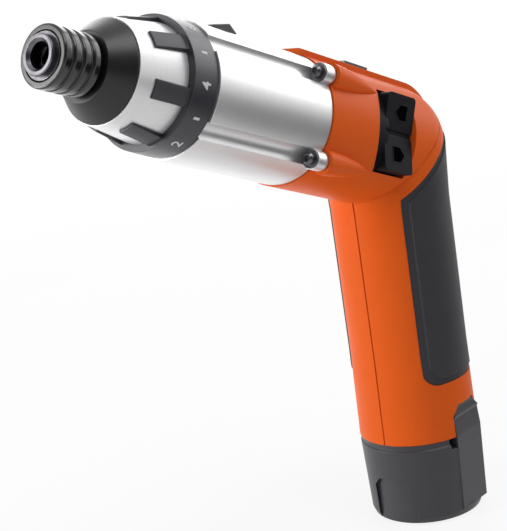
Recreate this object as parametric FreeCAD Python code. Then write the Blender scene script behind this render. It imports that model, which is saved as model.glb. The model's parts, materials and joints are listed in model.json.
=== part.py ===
import FreeCAD, Part
import math
import os
from FreeCAD import Placement, Rotation, Vector

# Pistol-grip cordless screwdriver. Millimetres and degrees.
# Row frame: +Z up the handle axis, +X towards the nose, +Y to the left, origin under the handle on the base.
# Barrel frame: +X along the barrel towards the nose, +Y left, origin at the pivot where both axes meet.
# Twist frame: +X along the axis that the handle turns on, from the handle towards the housing.

os.makedirs("parts", exist_ok=True)

# Stance
PIVOT_HEIGHT = 133.1
BARREL_PITCH = 21.3
HANDLE_PITCH = 90.0
TWIST_PITCH = (HANDLE_PITCH + BARREL_PITCH) / 2.0
TILT = TWIST_PITCH - BARREL_PITCH

# Fits and allowances
OVERRUN = 1.0
RUN_FIT = 0.05
SLIP_FIT = 0.15
MOVE_GAP = 0.3
SEAM_GAP_HALF = MOVE_GAP / 2.0
REACH = 200.0

# Gear train
GEAR_MODULE = 0.6
SUN_TEETH = 12
PLANET_TEETH = 15
RING_TEETH = 42
PLANETS = 3
PRESSURE_ANGLE = 20.0
ADDENDUM_SHARE = 0.8
DEDENDUM_SHARE = 1.1
ADDENDUM = ADDENDUM_SHARE * GEAR_MODULE
DEDENDUM = DEDENDUM_SHARE * GEAR_MODULE
BACKLASH = 0.12
RING_WALL = 1.94
RING_OUTER_R = GEAR_MODULE * RING_TEETH / 2.0 + DEDENDUM + RING_WALL
STAGE_ONE_REAR = 63.8
GEAR_WIDTH = 6.4
GEAR_GAP = 0.4
CARRIER_THICKNESS = 2.6
PLANET_PIN_R = 1.4
PLANET_PIN_RIM = 1.7
GEAR_PITCH_R = GEAR_MODULE * (SUN_TEETH + PLANET_TEETH) / 2.0
CARRIER_R = GEAR_PITCH_R + PLANET_PIN_R + PLANET_PIN_RIM
STAGE_LENGTH = GEAR_WIDTH + GEAR_GAP + CARRIER_THICKNESS + GEAR_GAP
STAGE_TWO_REAR = STAGE_ONE_REAR + STAGE_LENGTH
BACK_PLATE_THICKNESS = 2.4
BACK_PLATE_FRONT = STAGE_ONE_REAR - GEAR_GAP

# Barrel housing
SPIGOT_WALL = 3.1
HOUSING_BORE_R = RING_OUTER_R + SLIP_FIT + SPIGOT_WALL + SLIP_FIT
HOUSING_WALL = 2.9
BARREL_R = HOUSING_BORE_R + HOUSING_WALL
HOUSING_FRONT = 56.2
SEAM_WALL = 2.8
SPINE_HALF_WIDTH = 7.0
SPINE_RISE = 1.3
SPINE_TOP = BARREL_R + SPINE_RISE
SPINE_CORNER_RISE = 1.8
SPINE_CORNER_R = BARREL_R + SPINE_CORNER_RISE
SPINE_REAR = -14.0
RIB_THICKNESS = 2.0
RIB_STATIONS = (34.0, 47.6)

# Gear case
CASE_STEP = 0.4
CASE_R = BARREL_R - CASE_STEP
CASE_FRONT = 109.0
CASE_GAP = 0.4
SPIGOT_LENGTH = 5.3
CHAMBER_WALL = 3.5
CHAMBER_R = CASE_R - CHAMBER_WALL
CHAMBER_FRONT = 102.5
NECK_WALL = 3.0
NECK_BORE_R = 8.5
NECK_R = NECK_BORE_R + NECK_WALL
NECK_FRONT = 139.0
FLUTE_R = 3.3
LUG_PROUD = 1.1
LUG_CIRCLE_R = CASE_R + LUG_PROUD
LUG_R = 3.2
LUG_REAR = 53.9
LUG_FRONT = 60.7
LUG_ANGLES = (37.5, 142.5, 217.5, 322.5)
BOSS_WALL = 0.9
BOSS_FRONT = 55.5
BOSS_TIP = 30.0
BOSS_TIP_R = 0.7
BOSS_TIP_SINK = 0.3
BOSS_TIP_CIRCLE_R = BARREL_R - BOSS_TIP_SINK
CASE_SCREW_R = 1.5
CASE_SCREW_FLANGE_R = 2.95
CASE_SCREW_FLANGE = 0.6
CASE_SCREW_HEAD_R = 2.05
CASE_SCREW_HEAD = 1.9
CASE_SCREW_DOME = 0.7
CASE_SCREW_LENGTH = 14.0
CASE_SCREW_RECESS_AF = 1.8
CASE_SCREW_RECESS_DEPTH = 1.0

# Motor
MOTOR_R = 13.8
MOTOR_WALL = 1.2
MOTOR_BOSS_R = 5.0
MOTOR_BOSS_LENGTH = 2.0
MOTOR_FRONT = BACK_PLATE_FRONT - BACK_PLATE_THICKNESS
MOTOR_LENGTH = 29.0
MOTOR_REAR = MOTOR_FRONT - MOTOR_LENGTH
END_CAP_LENGTH = 3.6
SHAFT_R = 1.15
ARMATURE_INSET = 4.5
COMMUTATOR_R = 4.0
MAGNET_THICKNESS = 1.8
MAGNET_INNER_R = MOTOR_R - MOTOR_WALL - MAGNET_THICKNESS
ARMATURE_AIR_GAP = 0.6
ARMATURE_R = MAGNET_INNER_R - ARMATURE_AIR_GAP
MAGNET_CUT_HALF_WIDTH = 4.5

# Spindle and bit holder
SPINDLE_R = 5.0
DRIVE_AF = 7.0
NOSE_R = 5.9
NOSE_REAR = 140.6
NOSE_FRONT = 159.2
NOSE_CHAMFER = 0.3
SOCKET_AF = 6.45
SOCKET_REAR = 141.5
MOUTH_R = 3.75
MOUTH_DEPTH = 4.0
MOUTH_LEAD = 0.9
BALL_R = 1.2
BALL_STATION = 149.0
BALL_LIFT = 4.6
RETAINER_STATION = 156.4
RETAINER_WIDTH = 1.0
RETAINER_R = 6.8
RETAINER_GROOVE_R = 5.3
SLEEVE_REAR = 143.7
SLEEVE_FRONT = RETAINER_STATION + RETAINER_WIDTH
SLEEVE_R = 9.05
SLEEVE_BANDS = 4
SLEEVE_BAND_ROUND = 0.8
SLEEVE_GROOVE = 0.6
SLEEVE_GROOVE_DEPTH = 0.7
SLEEVE_TRAVEL = 3.0
SLEEVE_POCKET_R = 7.2
SLEEVE_FIT = 0.1
SPRING_WASHER = 0.8
BUSH_REAR = 112.0
BUSH_FRONT = 138.0

# Torque ring and nose
RING_REAR = 109.4
COLLAR_REAR_R = 20.5
COLLAR_FRONT_R = 20.1
COLLAR_FRONT = 118.6
SILVER_REAR_R = 17.75
SILVER_FRONT_R = 15.4
SILVER_WALL = 1.0
RING_FRONT = 135.6
FINGERS = 7
FINGER_WIDTH = 5.4
FINGER_PROUD = 1.3
FINGER_FRONT = 130.0
FINGER_FRONT_PROUD = 0.7
FINGER_TURN = -2.7
RING_POCKET_R = 16.2
RING_POCKET_FRONT = 117.0
RING_STEP_R = 14.5
RING_STEP_FRONT = 129.5
CLUTCH_PLATE_REAR = 109.8
CLUTCH_PLATE_THICKNESS = 1.5
CLUTCH_PLATE_R = 15.8
CLUTCH_SPRING_R = 14.2
CLUTCH_SPRING_DISCS = 5
CLUTCH_DISC = 1.1
CLUTCH_DISC_RISE = 1.2
CLUTCH_NUT_LENGTH = 5.4
NOSE_CONE_REAR = 136.0
NOSE_CONE_FRONT = 142.7
NOSE_CONE_REAR_R = 15.2
NOSE_CONE_FRONT_R = 10.2

# Speed selector on top of the gear case
SELECTOR_REAR = 87.5
SELECTOR_FRONT = 97.7
SELECTOR_HALF_WIDTH = 6.0
SELECTOR_SINK = 1.4
SELECTOR_BASE = CASE_R - SELECTOR_SINK
SELECTOR_REAR_EDGE = 0.9
SELECTOR_FRONT_EDGE = 1.5
SELECTOR_HEIGHT = 3.1
SELECTOR_CREST = 3.4
SELECTOR_TRAVEL = 5.0
STEM_HALF_WIDTH = 2.6
STEM_REAR = 93.6
STEM_FRONT = 97.2
FORK_CLEAR = 0.4
FORK_WALL = 1.6
FORK_OUTER_R = CHAMBER_R - FORK_CLEAR
FORK_INNER_R = FORK_OUTER_R - FORK_WALL

# Rocker switch on the left of the housing
ROCKER_REAR = 11.5
ROCKER_FRONT = 27.0
ROCKER_SKIRT_FRONT = 31.3
ROCKER_BOW_R = 25.8
ROCKER_CORNER_R = 1.6
ROCKER_TURN = 3.0
ROCKER_HALF_LENGTH = 12.9
ROCKER_SINK = 1.8
ROCKER_MIDDLE = BARREL_R - ROCKER_SINK
ROCKER_END_RISE = 1.5
ROCKER_WALL = 1.5
ROCKER_INNER_R = ROCKER_MIDDLE - ROCKER_WALL
ROCKER_SKIRT_SINK = 0.9
ROCKER_GROOVE_HALF = 0.9
ROCKER_GROOVE_DEPTH = 0.7
ROCKER_CLEAR = 0.6
ROCKER_PIN_R = 1.2
ROCKER_PIN_DROP = 3.4
ROCKER_PIN_LIFT = ROCKER_MIDDLE - ROCKER_PIN_DROP
ROCKER_RIB_HALF = 2.4
ROCKER_RIB_WALL = 0.7
ROCKER_RIB_LOW = ROCKER_PIN_LIFT - ROCKER_PIN_R - ROCKER_RIB_WALL
ROCKER_WINDOW_LOW = 11.0
PIN_BOSS_LENGTH = 3.0
PIN_BOSS_HALF = 3.4
PIN_BOSS_WALL = 1.0
PIN_BOSS_LOW = ROCKER_PIN_LIFT - ROCKER_PIN_R - PIN_BOSS_WALL
SWITCH_REAR = 13.0
SWITCH_FRONT = 27.0
SWITCH_LOW = 3.0
SWITCH_PLUNGER = 1.4
SWITCH_CLEAR = 0.4
SWITCH_HIGH = ROCKER_RIB_LOW - SWITCH_CLEAR - SWITCH_PLUNGER
SWITCH_HALF_HEIGHT = 6.5
SWITCH_PLUNGER_R = 1.2
SWITCH_PLUNGER_OFFSET = 4.0

# Charge gauge
GAUGE_REAR = 21.0
GAUGE_FRONT = 33.6
GAUGE_HALF_WIDTH = 6.3
GAUGE_THICKNESS = 1.6
GAUGE_PROUD = 0.45
BOARD_THICKNESS = 1.4
BOARD_CLEAR = 0.8
BOARD_LOW = MOTOR_R + BOARD_CLEAR
BOARD_FRONT = RIB_STATIONS[0]
BOARD_HALF_WIDTH = 6.0

# Housing screws
SCREW_R = 1.3
SCREW_HEAD_R = 2.5
SCREW_HEAD = 2.0
SCREW_BOSS_R = 2.7
SCREW_REACH = 6.0
SCREW_SINK = 0.5
SCREW_INSET = 5.9
FRONT_SCREW_INSET = 4.7
HOUSING_SCREW_STATIONS = (20.0, 21.0, 43.0)
HOUSING_SCREW_LEVELS = (BARREL_R - SCREW_INSET, SCREW_INSET - BARREL_R, FRONT_SCREW_INSET - BARREL_R)
HOUSING_SCREW_PLACES = tuple(zip(HOUSING_SCREW_STATIONS, HOUSING_SCREW_LEVELS))
BOARD_REAR = HOUSING_SCREW_STATIONS[0] + SCREW_BOSS_R

# Twist joint
HUB_R = 8.8
HUB_BORE_R = 5.6
HUB_FLANGE_R = 13.0
HUB_FLANGE = 2.4
HUB_RING_R = 11.6
HUB_RING = 1.8
HUB_TAIL = 1.2

# Handle
HANDLE_WAIST = 0.9
HANDLE_R = BARREL_R - HANDLE_WAIST
HANDLE_BOTTOM = 30.6
FOOT_FLARE = 0.6
FOOT_R = HANDLE_R + FOOT_FLARE
FOOT_TOP = 62.0
FLARE_DROP = 19.1
FLARE_BOTTOM = PIVOT_HEIGHT - FLARE_DROP
HANDLE_WALL = 2.6
HANDLE_BORE_R = HANDLE_R - HANDLE_WALL
HANDLE_SCREW_INSET = 5.2
TOP_SCREW_INSET = 8.6
LOW_SCREW_LEVELS = (70.0, 96.0)
HANDLE_SCREW_DEPTHS = (HANDLE_SCREW_INSET - HANDLE_R, HANDLE_SCREW_INSET - HANDLE_R, TOP_SCREW_INSET - HANDLE_R)
HANDLE_BORE_BOTTOM = 44.0
THROAT_R = 12.4
HANDLE_RIB_LEVELS = (62.0, 82.0)
GRIP_DEPTH = 1.5
GRIP_FRONT = 14.2
GRIP_BOTTOM = 50.7
GRIP_CORNER_R = 5.0
GRIP_BAND = 4.6
GRIP_BORDER = 2.2
GRIP_BORDER_SINK = 0.3
GRIP_PAD_PROUD = 0.35
PARTING_HALF = 0.25
PARTING_DEPTH = 0.4
CONTACT_RIB = 1.6

# Battery pack
CAP_RIM_STEP = 0.1
CAP_RIM_R = FOOT_R - CAP_RIM_STEP
CAP_TAPER = 1.0
CAP_BASE_R = CAP_RIM_R - CAP_TAPER
CAP_TOP = HANDLE_BOTTOM - MOVE_GAP
CAP_FLOOR = 2.4
CAP_WALL = 4.9
CAP_BORE_R = CAP_RIM_R - CAP_WALL
CAP_EDGE_R = 2.6
RIM_BAND = 1.8
RIM_BEVEL = 0.5
RIM_INSET = 0.6
CELL_R = 9.2
CELL_LENGTH = 65.0
CELL_CLEAR = 0.2
CORE_WALL = 2.5
CORE_BORE_R = CELL_R + CELL_CLEAR
CORE_R = CORE_BORE_R + CORE_WALL
CORE_LID = 2.0
CORE_FLANGE = 3.0
CORE_FLANGE_DROP = 3.4
CORE_FLANGE_BOTTOM = CAP_TOP - CORE_FLANGE_DROP
CELL_BOTTOM = 31.0
CORE_HEADROOM = 3.4
CORE_TOP = CELL_BOTTOM + CELL_LENGTH + CORE_HEADROOM
CONTACT_SLOT_HALF = 1.6
CONTACT_STRIP = 0.6
RECESS_HALF_WIDTH = 8.3
RECESS_TOP = 17.0
RECESS_DEPTH = 0.9
RECESS_CORNER = 3.0

# Contact block and the screw above it
CONTACT_GAP = 1.0
CONTACT_THICKNESS = 4.0
CONTACT_LOW = CORE_TOP + CONTACT_GAP
CONTACT_HIGH = CONTACT_LOW + CONTACT_THICKNESS
TOP_SCREW_RISE = 8.6
HANDLE_SCREW_LEVELS = LOW_SCREW_LEVELS + (CONTACT_HIGH + TOP_SCREW_RISE,)
HANDLE_SCREW_PLACES = tuple(zip(HANDLE_SCREW_DEPTHS, HANDLE_SCREW_LEVELS))

# Battery latches
LATCH_HALF_WIDTH = 7.65
LATCH_SHIFT = -1.65
LATCH_BOTTOM = 26.4
LATCH_SEAT_GAP = 0.15
LATCH_TOP = 41.3
LATCH_SINK = 4.0
LATCH_INNER = FOOT_R - LATCH_SINK
LATCH_CORNER_WIDTH = 3.0
LATCH_CORNER_HEIGHT = 3.7
LATCH_TOP_SINK = 1.8
LATCH_RIM_SINK = 0.7
LATCH_FOOT_SINK = 1.5
LATCH_TOP_OUT = FOOT_R - LATCH_TOP_SINK
LATCH_RIM_OUT = FOOT_R - LATCH_RIM_SINK
LATCH_FOOT_OUT = FOOT_R - LATCH_FOOT_SINK
LATCH_FOOT = 3.0
LATCH_RIDGE = 4.6
LATCH_RIDGE_SLOPE = 1.2
LATCH_RIDGE_PROUD = 0.5
LATCH_TRAVEL = 0.8
LATCH_GAP = 0.35
RIM_SLOT = 2.2
RIM_SLOT_DEPTH = 3.6

PIVOT = Vector(0, 0, PIVOT_HEIGHT)
BARREL_PLACE = Placement(PIVOT, Rotation(Vector(0, 1, 0), -BARREL_PITCH))
TWIST_PLACE = Placement(PIVOT, Rotation(Vector(0, 1, 0), -TWIST_PITCH))
TILT_PLACE = Placement(Vector(0, 0, 0), Rotation(Vector(0, 1, 0), -TILT))


# Basic forms

def placed(shape, placement):
    moved = shape.copy()
    moved.Placement = placement.multiply(moved.Placement)
    return moved


def on_barrel(shape):
    return placed(shape, BARREL_PLACE)


def rod(radius, start, end, y=0, z=0):
    return Part.makeCylinder(radius, end - start, Vector(start, y, z), Vector(1, 0, 0))


def tube(outer, inner, start, end):
    return rod(outer, start, end).cut(rod(inner, start - OVERRUN, end + OVERRUN))


def post(radius, bottom, top, x=0, y=0):
    return Part.makeCylinder(radius, top - bottom, Vector(x, y, bottom), Vector(0, 0, 1))


def cross_rod(radius, start, end, x, z):
    return Part.makeCylinder(radius, end - start, Vector(x, start, z), Vector(0, 1, 0))


def block(x_range, y_range, z_range):
    size = [pair[1] - pair[0] for pair in (x_range, y_range, z_range)]
    return Part.makeBox(size[0], size[1], size[2], Vector(x_range[0], y_range[0], z_range[0]))


def turned(points):
    """Solid of revolution about X from (station, radius) points."""
    corners = [Vector(station, 0, radius) for station, radius in points]
    outline = Part.Face(Part.makePolygon(corners + corners[:1]))
    return outline.revolve(Vector(0, 0, 0), Vector(1, 0, 0), 360)


def lathed(points):
    """Solid of revolution about Z from (radius, level) points."""
    corners = [Vector(radius, 0, level) for radius, level in points]
    outline = Part.Face(Part.makePolygon(corners + corners[:1]))
    return outline.revolve(Vector(0, 0, 0), Vector(0, 0, 1), 360)


def hexagon(across_flats, start, end):
    """Hexagonal bar along X with a flat on top."""
    corner_r = across_flats / math.sqrt(3)
    turns = [math.radians(60 * k) for k in range(6)]
    corners = [Vector(start, corner_r * math.cos(turn), corner_r * math.sin(turn)) for turn in turns]
    return Part.Face(Part.makePolygon(corners + corners[:1])).extrude(Vector(end - start, 0, 0))


def about_barrel(shape, angle):
    return placed(shape, Placement(Vector(0, 0, 0), Rotation(Vector(1, 0, 0), angle)))


def fused(shapes):
    return shapes[0].multiFuse(shapes[1:]) if len(shapes) > 1 else shapes[0]


def screw_seat(shell_r, place):
    """Level of the face under a cross screw's head, sunk below a round shell."""
    outer = abs(place) + SCREW_HEAD_R
    return SCREW_SINK + SCREW_HEAD - math.sqrt(shell_r ** 2 - outer ** 2)


def halves(shape):
    """Left and right mouldings, split on the mid plane."""
    left = shape.common(block((-REACH, REACH), (0, REACH), (-REACH, REACH)))
    right = shape.common(block((-REACH, REACH), (-REACH, 0), (-REACH, REACH)))
    return left, right


def housing_side(offset):
    """Half space past a plane parallel to the twist seam, in the twist frame."""
    return block((offset, offset + REACH), (-REACH, REACH), (-REACH, REACH))


def save(name, shape):
    clean = shape.removeSplitter() if shape.ShapeType != "Compound" or len(shape.Solids) == 1 else shape
    clean.exportStep("parts/" + name + ".step")
    print(name, len(clean.Solids), round(clean.Volume, 1), clean.isValid())


# Gears

def involute(angle):
    return math.tan(angle) - angle


def gear_outline(teeth, tip_r, root_r, thickness, phase):
    """Closed polygon of a toothed wheel about X, with one tooth centred at the phase angle."""
    pitch_r = GEAR_MODULE * teeth / 2.0
    base_r = pitch_r * math.cos(math.radians(PRESSURE_ANGLE))
    radii = [root_r, max(base_r, root_r), pitch_r, tip_r]
    if base_r <= root_r:
        radii = [root_r, pitch_r, tip_r]
    pitch_half = thickness / (2.0 * pitch_r) + involute(math.radians(PRESSURE_ANGLE))
    flank = [(radius, pitch_half - involute(math.acos(min(base_r / radius, 1)))) for radius in radii]
    corners = []
    for tooth in range(teeth):
        centre = phase + 2.0 * math.pi * tooth / teeth
        side = [(radius, centre - half) for radius, half in flank]
        side += [(radius, centre + half) for radius, half in reversed(flank)]
        corners += [Vector(0, radius * math.cos(turn), radius * math.sin(turn)) for radius, turn in side]
    return Part.Face(Part.makePolygon(corners + corners[:1]))


def wheel(teeth, phase, start, end):
    pitch_r = GEAR_MODULE * teeth / 2.0
    thickness = math.pi * GEAR_MODULE / 2.0 - BACKLASH
    face = gear_outline(teeth, pitch_r + ADDENDUM, pitch_r - DEDENDUM, thickness, phase)
    face.translate(Vector(start, 0, 0))
    return face.extrude(Vector(end - start, 0, 0))


def planet_phase(position):
    """Phase of a planet at a position angle, in mesh with a sun that has a tooth at angle zero."""
    shared = 0.5 - position * SUN_TEETH / (2.0 * math.pi)
    return position + math.pi - shared * 2.0 * math.pi / PLANET_TEETH


def planet_centre(index):
    position = 2.0 * math.pi * index / PLANETS
    return position, GEAR_PITCH_R * math.cos(position), GEAR_PITCH_R * math.sin(position)


def planet(index, start):
    position, y, z = planet_centre(index)
    gear = wheel(PLANET_TEETH, planet_phase(position), start, start + GEAR_WIDTH)
    gear = gear.cut(rod(PLANET_PIN_R + RUN_FIT, start - OVERRUN, start + GEAR_WIDTH + OVERRUN))
    return placed(gear, Placement(Vector(0, y, z), Rotation()))


def ring_gear():
    start = BACK_PLATE_FRONT
    end = STAGE_TWO_REAR + STAGE_LENGTH
    pitch_r = GEAR_MODULE * RING_TEETH / 2.0
    thickness = math.pi * GEAR_MODULE / 2.0 + BACKLASH
    phase = planet_phase(0) * PLANET_TEETH / RING_TEETH
    space = gear_outline(RING_TEETH, pitch_r + DEDENDUM, pitch_r - ADDENDUM, thickness, phase)
    space.translate(Vector(start - OVERRUN, 0, 0))
    return rod(RING_OUTER_R, start, end).cut(space.extrude(Vector(end - start + OVERRUN + OVERRUN, 0, 0)))


def carrier(start, sun_ahead):
    """Planet carrier disc with its pins, and the next stage's sun in front of it or a drive hole."""
    rear = start + GEAR_WIDTH + GEAR_GAP
    front = rear + CARRIER_THICKNESS
    body = [rod(CARRIER_R, rear, front)]
    for index in range(PLANETS):
        _, y, z = planet_centre(index)
        body.append(rod(PLANET_PIN_R, start, rear + RIB_THICKNESS, y, z))
    if sun_ahead:
        body.append(wheel(SUN_TEETH, 0, front, front + GEAR_GAP + GEAR_WIDTH))
        return fused(body)
    return fused(body).cut(hexagon(DRIVE_AF + RUN_FIT, rear - OVERRUN, front + OVERRUN))


# Motor

def motor_can():
    can = rod(MOTOR_R, MOTOR_REAR, MOTOR_FRONT)
    can = can.fuse(rod(MOTOR_BOSS_R, MOTOR_FRONT - MOTOR_WALL, MOTOR_FRONT + MOTOR_BOSS_LENGTH))
    can = can.cut(rod(MOTOR_R - MOTOR_WALL, MOTOR_REAR - OVERRUN, MOTOR_FRONT - MOTOR_WALL))
    return can.cut(rod(SHAFT_R + RUN_FIT, MOTOR_REAR, MOTOR_FRONT + MOTOR_BOSS_LENGTH + OVERRUN))


def motor_end_cap():
    rear = MOTOR_REAR - END_CAP_LENGTH
    cap = turned([(rear, SHAFT_R + RUN_FIT), (rear, MOTOR_BOSS_R), (MOTOR_REAR - MOTOR_WALL, MOTOR_BOSS_R),
                  (MOTOR_REAR - MOTOR_WALL, MOTOR_R), (MOTOR_REAR, MOTOR_R),
                  (MOTOR_REAR, MOTOR_R - MOTOR_WALL - SLIP_FIT),
                  (MOTOR_REAR + MOTOR_WALL, MOTOR_R - MOTOR_WALL - SLIP_FIT),
                  (MOTOR_REAR + MOTOR_WALL, SHAFT_R + RUN_FIT)])
    return cap


def motor_rotor():
    core_rear = MOTOR_REAR + ARMATURE_INSET + ARMATURE_INSET
    core_front = MOTOR_FRONT - ARMATURE_INSET
    shaft_front = STAGE_ONE_REAR + GEAR_WIDTH - GEAR_GAP
    core = rod(ARMATURE_R, core_rear, core_front)
    for index in range(PLANETS):
        slot = block((core_rear - OVERRUN, core_front + OVERRUN), (-MOTOR_WALL, MOTOR_WALL),
                     (ARMATURE_R - MOTOR_BOSS_LENGTH, ARMATURE_R + OVERRUN))
        core = core.cut(about_barrel(slot, index * 360.0 / PLANETS))
    commutator = rod(COMMUTATOR_R, MOTOR_REAR + MOTOR_WALL + MOVE_GAP, core_rear)
    return fused([core, commutator, rod(SHAFT_R, MOTOR_REAR - END_CAP_LENGTH - GEAR_GAP, shaft_front)])


def motor_pinion():
    gear = wheel(SUN_TEETH, 0, STAGE_ONE_REAR, STAGE_ONE_REAR + GEAR_WIDTH)
    return gear.cut(rod(SHAFT_R, STAGE_ONE_REAR - OVERRUN, STAGE_ONE_REAR + GEAR_WIDTH + OVERRUN))


def motor_magnets():
    shell = tube(MOTOR_R - MOTOR_WALL, MAGNET_INNER_R, MOTOR_REAR + ARMATURE_INSET, MOTOR_FRONT - ARMATURE_INSET)
    return shell.cut(block((MOTOR_REAR, MOTOR_FRONT), (-MAGNET_CUT_HALF_WIDTH, MAGNET_CUT_HALF_WIDTH),
                           (-MOTOR_R, MOTOR_R)))


def gearbox_back_plate():
    return tube(RING_OUTER_R, MOTOR_BOSS_R + RUN_FIT, MOTOR_FRONT, BACK_PLATE_FRONT)


# Spindle and bit holder

def spindle():
    drive_rear = STAGE_TWO_REAR + GEAR_WIDTH + GEAR_GAP
    drive_front = drive_rear + CARRIER_THICKNESS
    chamfer_r = NOSE_R - NOSE_CHAMFER
    groove_front = RETAINER_STATION + RETAINER_WIDTH
    shaft = turned([(drive_front, 0), (drive_front, SPINDLE_R), (NOSE_REAR, SPINDLE_R), (NOSE_REAR, NOSE_R),
                    (RETAINER_STATION, NOSE_R), (RETAINER_STATION, RETAINER_GROOVE_R),
                    (groove_front, RETAINER_GROOVE_R), (groove_front, NOSE_R),
                    (NOSE_FRONT - NOSE_CHAMFER, NOSE_R), (NOSE_FRONT, chamfer_r), (NOSE_FRONT, 0)])
    shaft = shaft.fuse(hexagon(DRIVE_AF, drive_rear, drive_front))
    shaft = shaft.cut(hexagon(SOCKET_AF, SOCKET_REAR, NOSE_FRONT))
    lead_rear = NOSE_FRONT - MOUTH_LEAD
    shaft = shaft.cut(rod(MOUTH_R, lead_rear - MOUTH_DEPTH, NOSE_FRONT + OVERRUN))
    lead = Part.makeCone(MOUTH_R, MOUTH_R + MOUTH_LEAD, MOUTH_LEAD, Vector(lead_rear, 0, 0), Vector(1, 0, 0))
    shaft = shaft.cut(lead)
    return shaft.cut(post(BALL_R + RUN_FIT, 0, NOSE_R + OVERRUN, BALL_STATION))


def locking_ball():
    return Part.makeSphere(BALL_R, Vector(BALL_STATION, 0, BALL_LIFT))


def retaining_ring():
    return tube(RETAINER_R, RETAINER_GROOVE_R, RETAINER_STATION, RETAINER_STATION + RETAINER_WIDTH)


def sleeve_band(start, end):
    """Wide band of the sleeve with both of its outer edges rounded."""
    band = rod(SLEEVE_R, start, end)
    rims = [edge for edge in band.Edges if isinstance(edge.Curve, Part.Circle)]
    return band.makeFillet(SLEEVE_BAND_ROUND, rims)


def bit_sleeve():
    pocket = RETAINER_STATION - RUN_FIT - SPRING_WASHER - SLEEVE_TRAVEL - MOVE_GAP
    bore = NOSE_R + SLEEVE_FIT
    step = (SLEEVE_FRONT - SLEEVE_REAR + SLEEVE_GROOVE) / SLEEVE_BANDS
    body = [rod(SLEEVE_R - SLEEVE_GROOVE_DEPTH, SLEEVE_REAR, SLEEVE_FRONT)]
    for index in range(SLEEVE_BANDS):
        start = SLEEVE_REAR + index * step
        body.append(sleeve_band(start, start + step - SLEEVE_GROOVE))
    sleeve = fused(body).cut(rod(bore, SLEEVE_REAR - OVERRUN, SLEEVE_FRONT + OVERRUN))
    return sleeve.cut(rod(SLEEVE_POCKET_R, pocket, SLEEVE_FRONT + OVERRUN))


def sleeve_spring():
    front = RETAINER_STATION - RUN_FIT
    return tube(RETAINER_R, NOSE_R + RUN_FIT, front - SPRING_WASHER, front)


def spindle_bush():
    return tube(NECK_BORE_R, SPINDLE_R + RUN_FIT, BUSH_REAR, BUSH_FRONT)


# Torque ring, clutch and nose

def cone_radius(station):
    """Outer radius of the silver taper at a station."""
    share = (station - COLLAR_FRONT) / (RING_FRONT - COLLAR_FRONT)
    return SILVER_REAR_R + share * (SILVER_FRONT_R - SILVER_REAR_R)


def finger_blocks(half_width, front):
    reach = block((COLLAR_FRONT, front), (-half_width, half_width), (NECK_R, REACH))
    return [about_barrel(reach, FINGER_TURN + index * 360.0 / FINGERS) for index in range(FINGERS)]


def torque_ring():
    under = SILVER_WALL + RUN_FIT
    body = turned([(RING_REAR, RING_POCKET_R), (RING_REAR, COLLAR_REAR_R), (COLLAR_FRONT, COLLAR_FRONT_R),
                   (COLLAR_FRONT, SILVER_REAR_R - under), (RING_FRONT, SILVER_FRONT_R - under),
                   (RING_FRONT, NECK_R + RUN_FIT), (RING_STEP_FRONT, NECK_R + RUN_FIT),
                   (RING_STEP_FRONT, RING_STEP_R), (RING_POCKET_FRONT, RING_STEP_R),
                   (RING_POCKET_FRONT, RING_POCKET_R)])
    crown = turned([(COLLAR_FRONT, SILVER_REAR_R - under), (COLLAR_FRONT, SILVER_REAR_R + FINGER_PROUD),
                    (FINGER_FRONT, cone_radius(FINGER_FRONT) + FINGER_FRONT_PROUD),
                    (FINGER_FRONT, cone_radius(FINGER_FRONT) - under)])
    fingers = [crown.common(reach) for reach in finger_blocks(FINGER_WIDTH / 2.0, FINGER_FRONT)]
    return fused([body] + fingers)


def torque_ring_shell():
    shell = turned([(COLLAR_FRONT + RUN_FIT, SILVER_REAR_R - SILVER_WALL), (COLLAR_FRONT + RUN_FIT, SILVER_REAR_R),
                    (RING_FRONT, SILVER_FRONT_R), (RING_FRONT, SILVER_FRONT_R - SILVER_WALL)])
    for reach in finger_blocks(FINGER_WIDTH / 2.0 + RUN_FIT, FINGER_FRONT + RUN_FIT):
        shell = shell.cut(reach)
    return shell


def clutch_plate():
    return tube(CLUTCH_PLATE_R, NECK_R + RUN_FIT, CLUTCH_PLATE_REAR, CLUTCH_PLATE_REAR + CLUTCH_PLATE_THICKNESS)


def clutch_spring():
    """Stack of coned disc springs, set face to face and back to back."""
    start = CLUTCH_PLATE_REAR + CLUTCH_PLATE_THICKNESS + RUN_FIT
    inner = NECK_R + SLIP_FIT
    discs = []
    for index in range(CLUTCH_SPRING_DISCS):
        rear = start + index * (CLUTCH_DISC + CLUTCH_DISC_RISE + RUN_FIT)
        rise = (0, CLUTCH_DISC_RISE) if index % 2 else (CLUTCH_DISC_RISE, 0)
        discs.append(turned([(rear + rise[0], inner), (rear + rise[1], CLUTCH_SPRING_R),
                             (rear + rise[1] + CLUTCH_DISC, CLUTCH_SPRING_R), (rear + rise[0] + CLUTCH_DISC, inner)]))
    return Part.makeCompound(discs)


def clutch_nut():
    stack = CLUTCH_SPRING_DISCS * (CLUTCH_DISC + CLUTCH_DISC_RISE + RUN_FIT)
    rear = CLUTCH_PLATE_REAR + CLUTCH_PLATE_THICKNESS + RUN_FIT + stack
    return tube(CLUTCH_SPRING_R, NECK_R + RUN_FIT, rear, rear + CLUTCH_NUT_LENGTH)


def nose_cone():
    return turned([(NOSE_CONE_REAR, NECK_R + RUN_FIT), (NOSE_CONE_REAR, NOSE_CONE_REAR_R),
                   (NOSE_CONE_FRONT, NOSE_CONE_FRONT_R), (NOSE_CONE_FRONT, NOSE_R + MOVE_GAP),
                   (NECK_FRONT + RUN_FIT, NOSE_R + MOVE_GAP), (NECK_FRONT + RUN_FIT, NECK_R + RUN_FIT)])


# Gear case

def lug_places(circle_r):
    turns = [math.radians(angle) for angle in LUG_ANGLES]
    return [(circle_r * math.cos(turn), circle_r * math.sin(turn)) for turn in turns]


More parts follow.
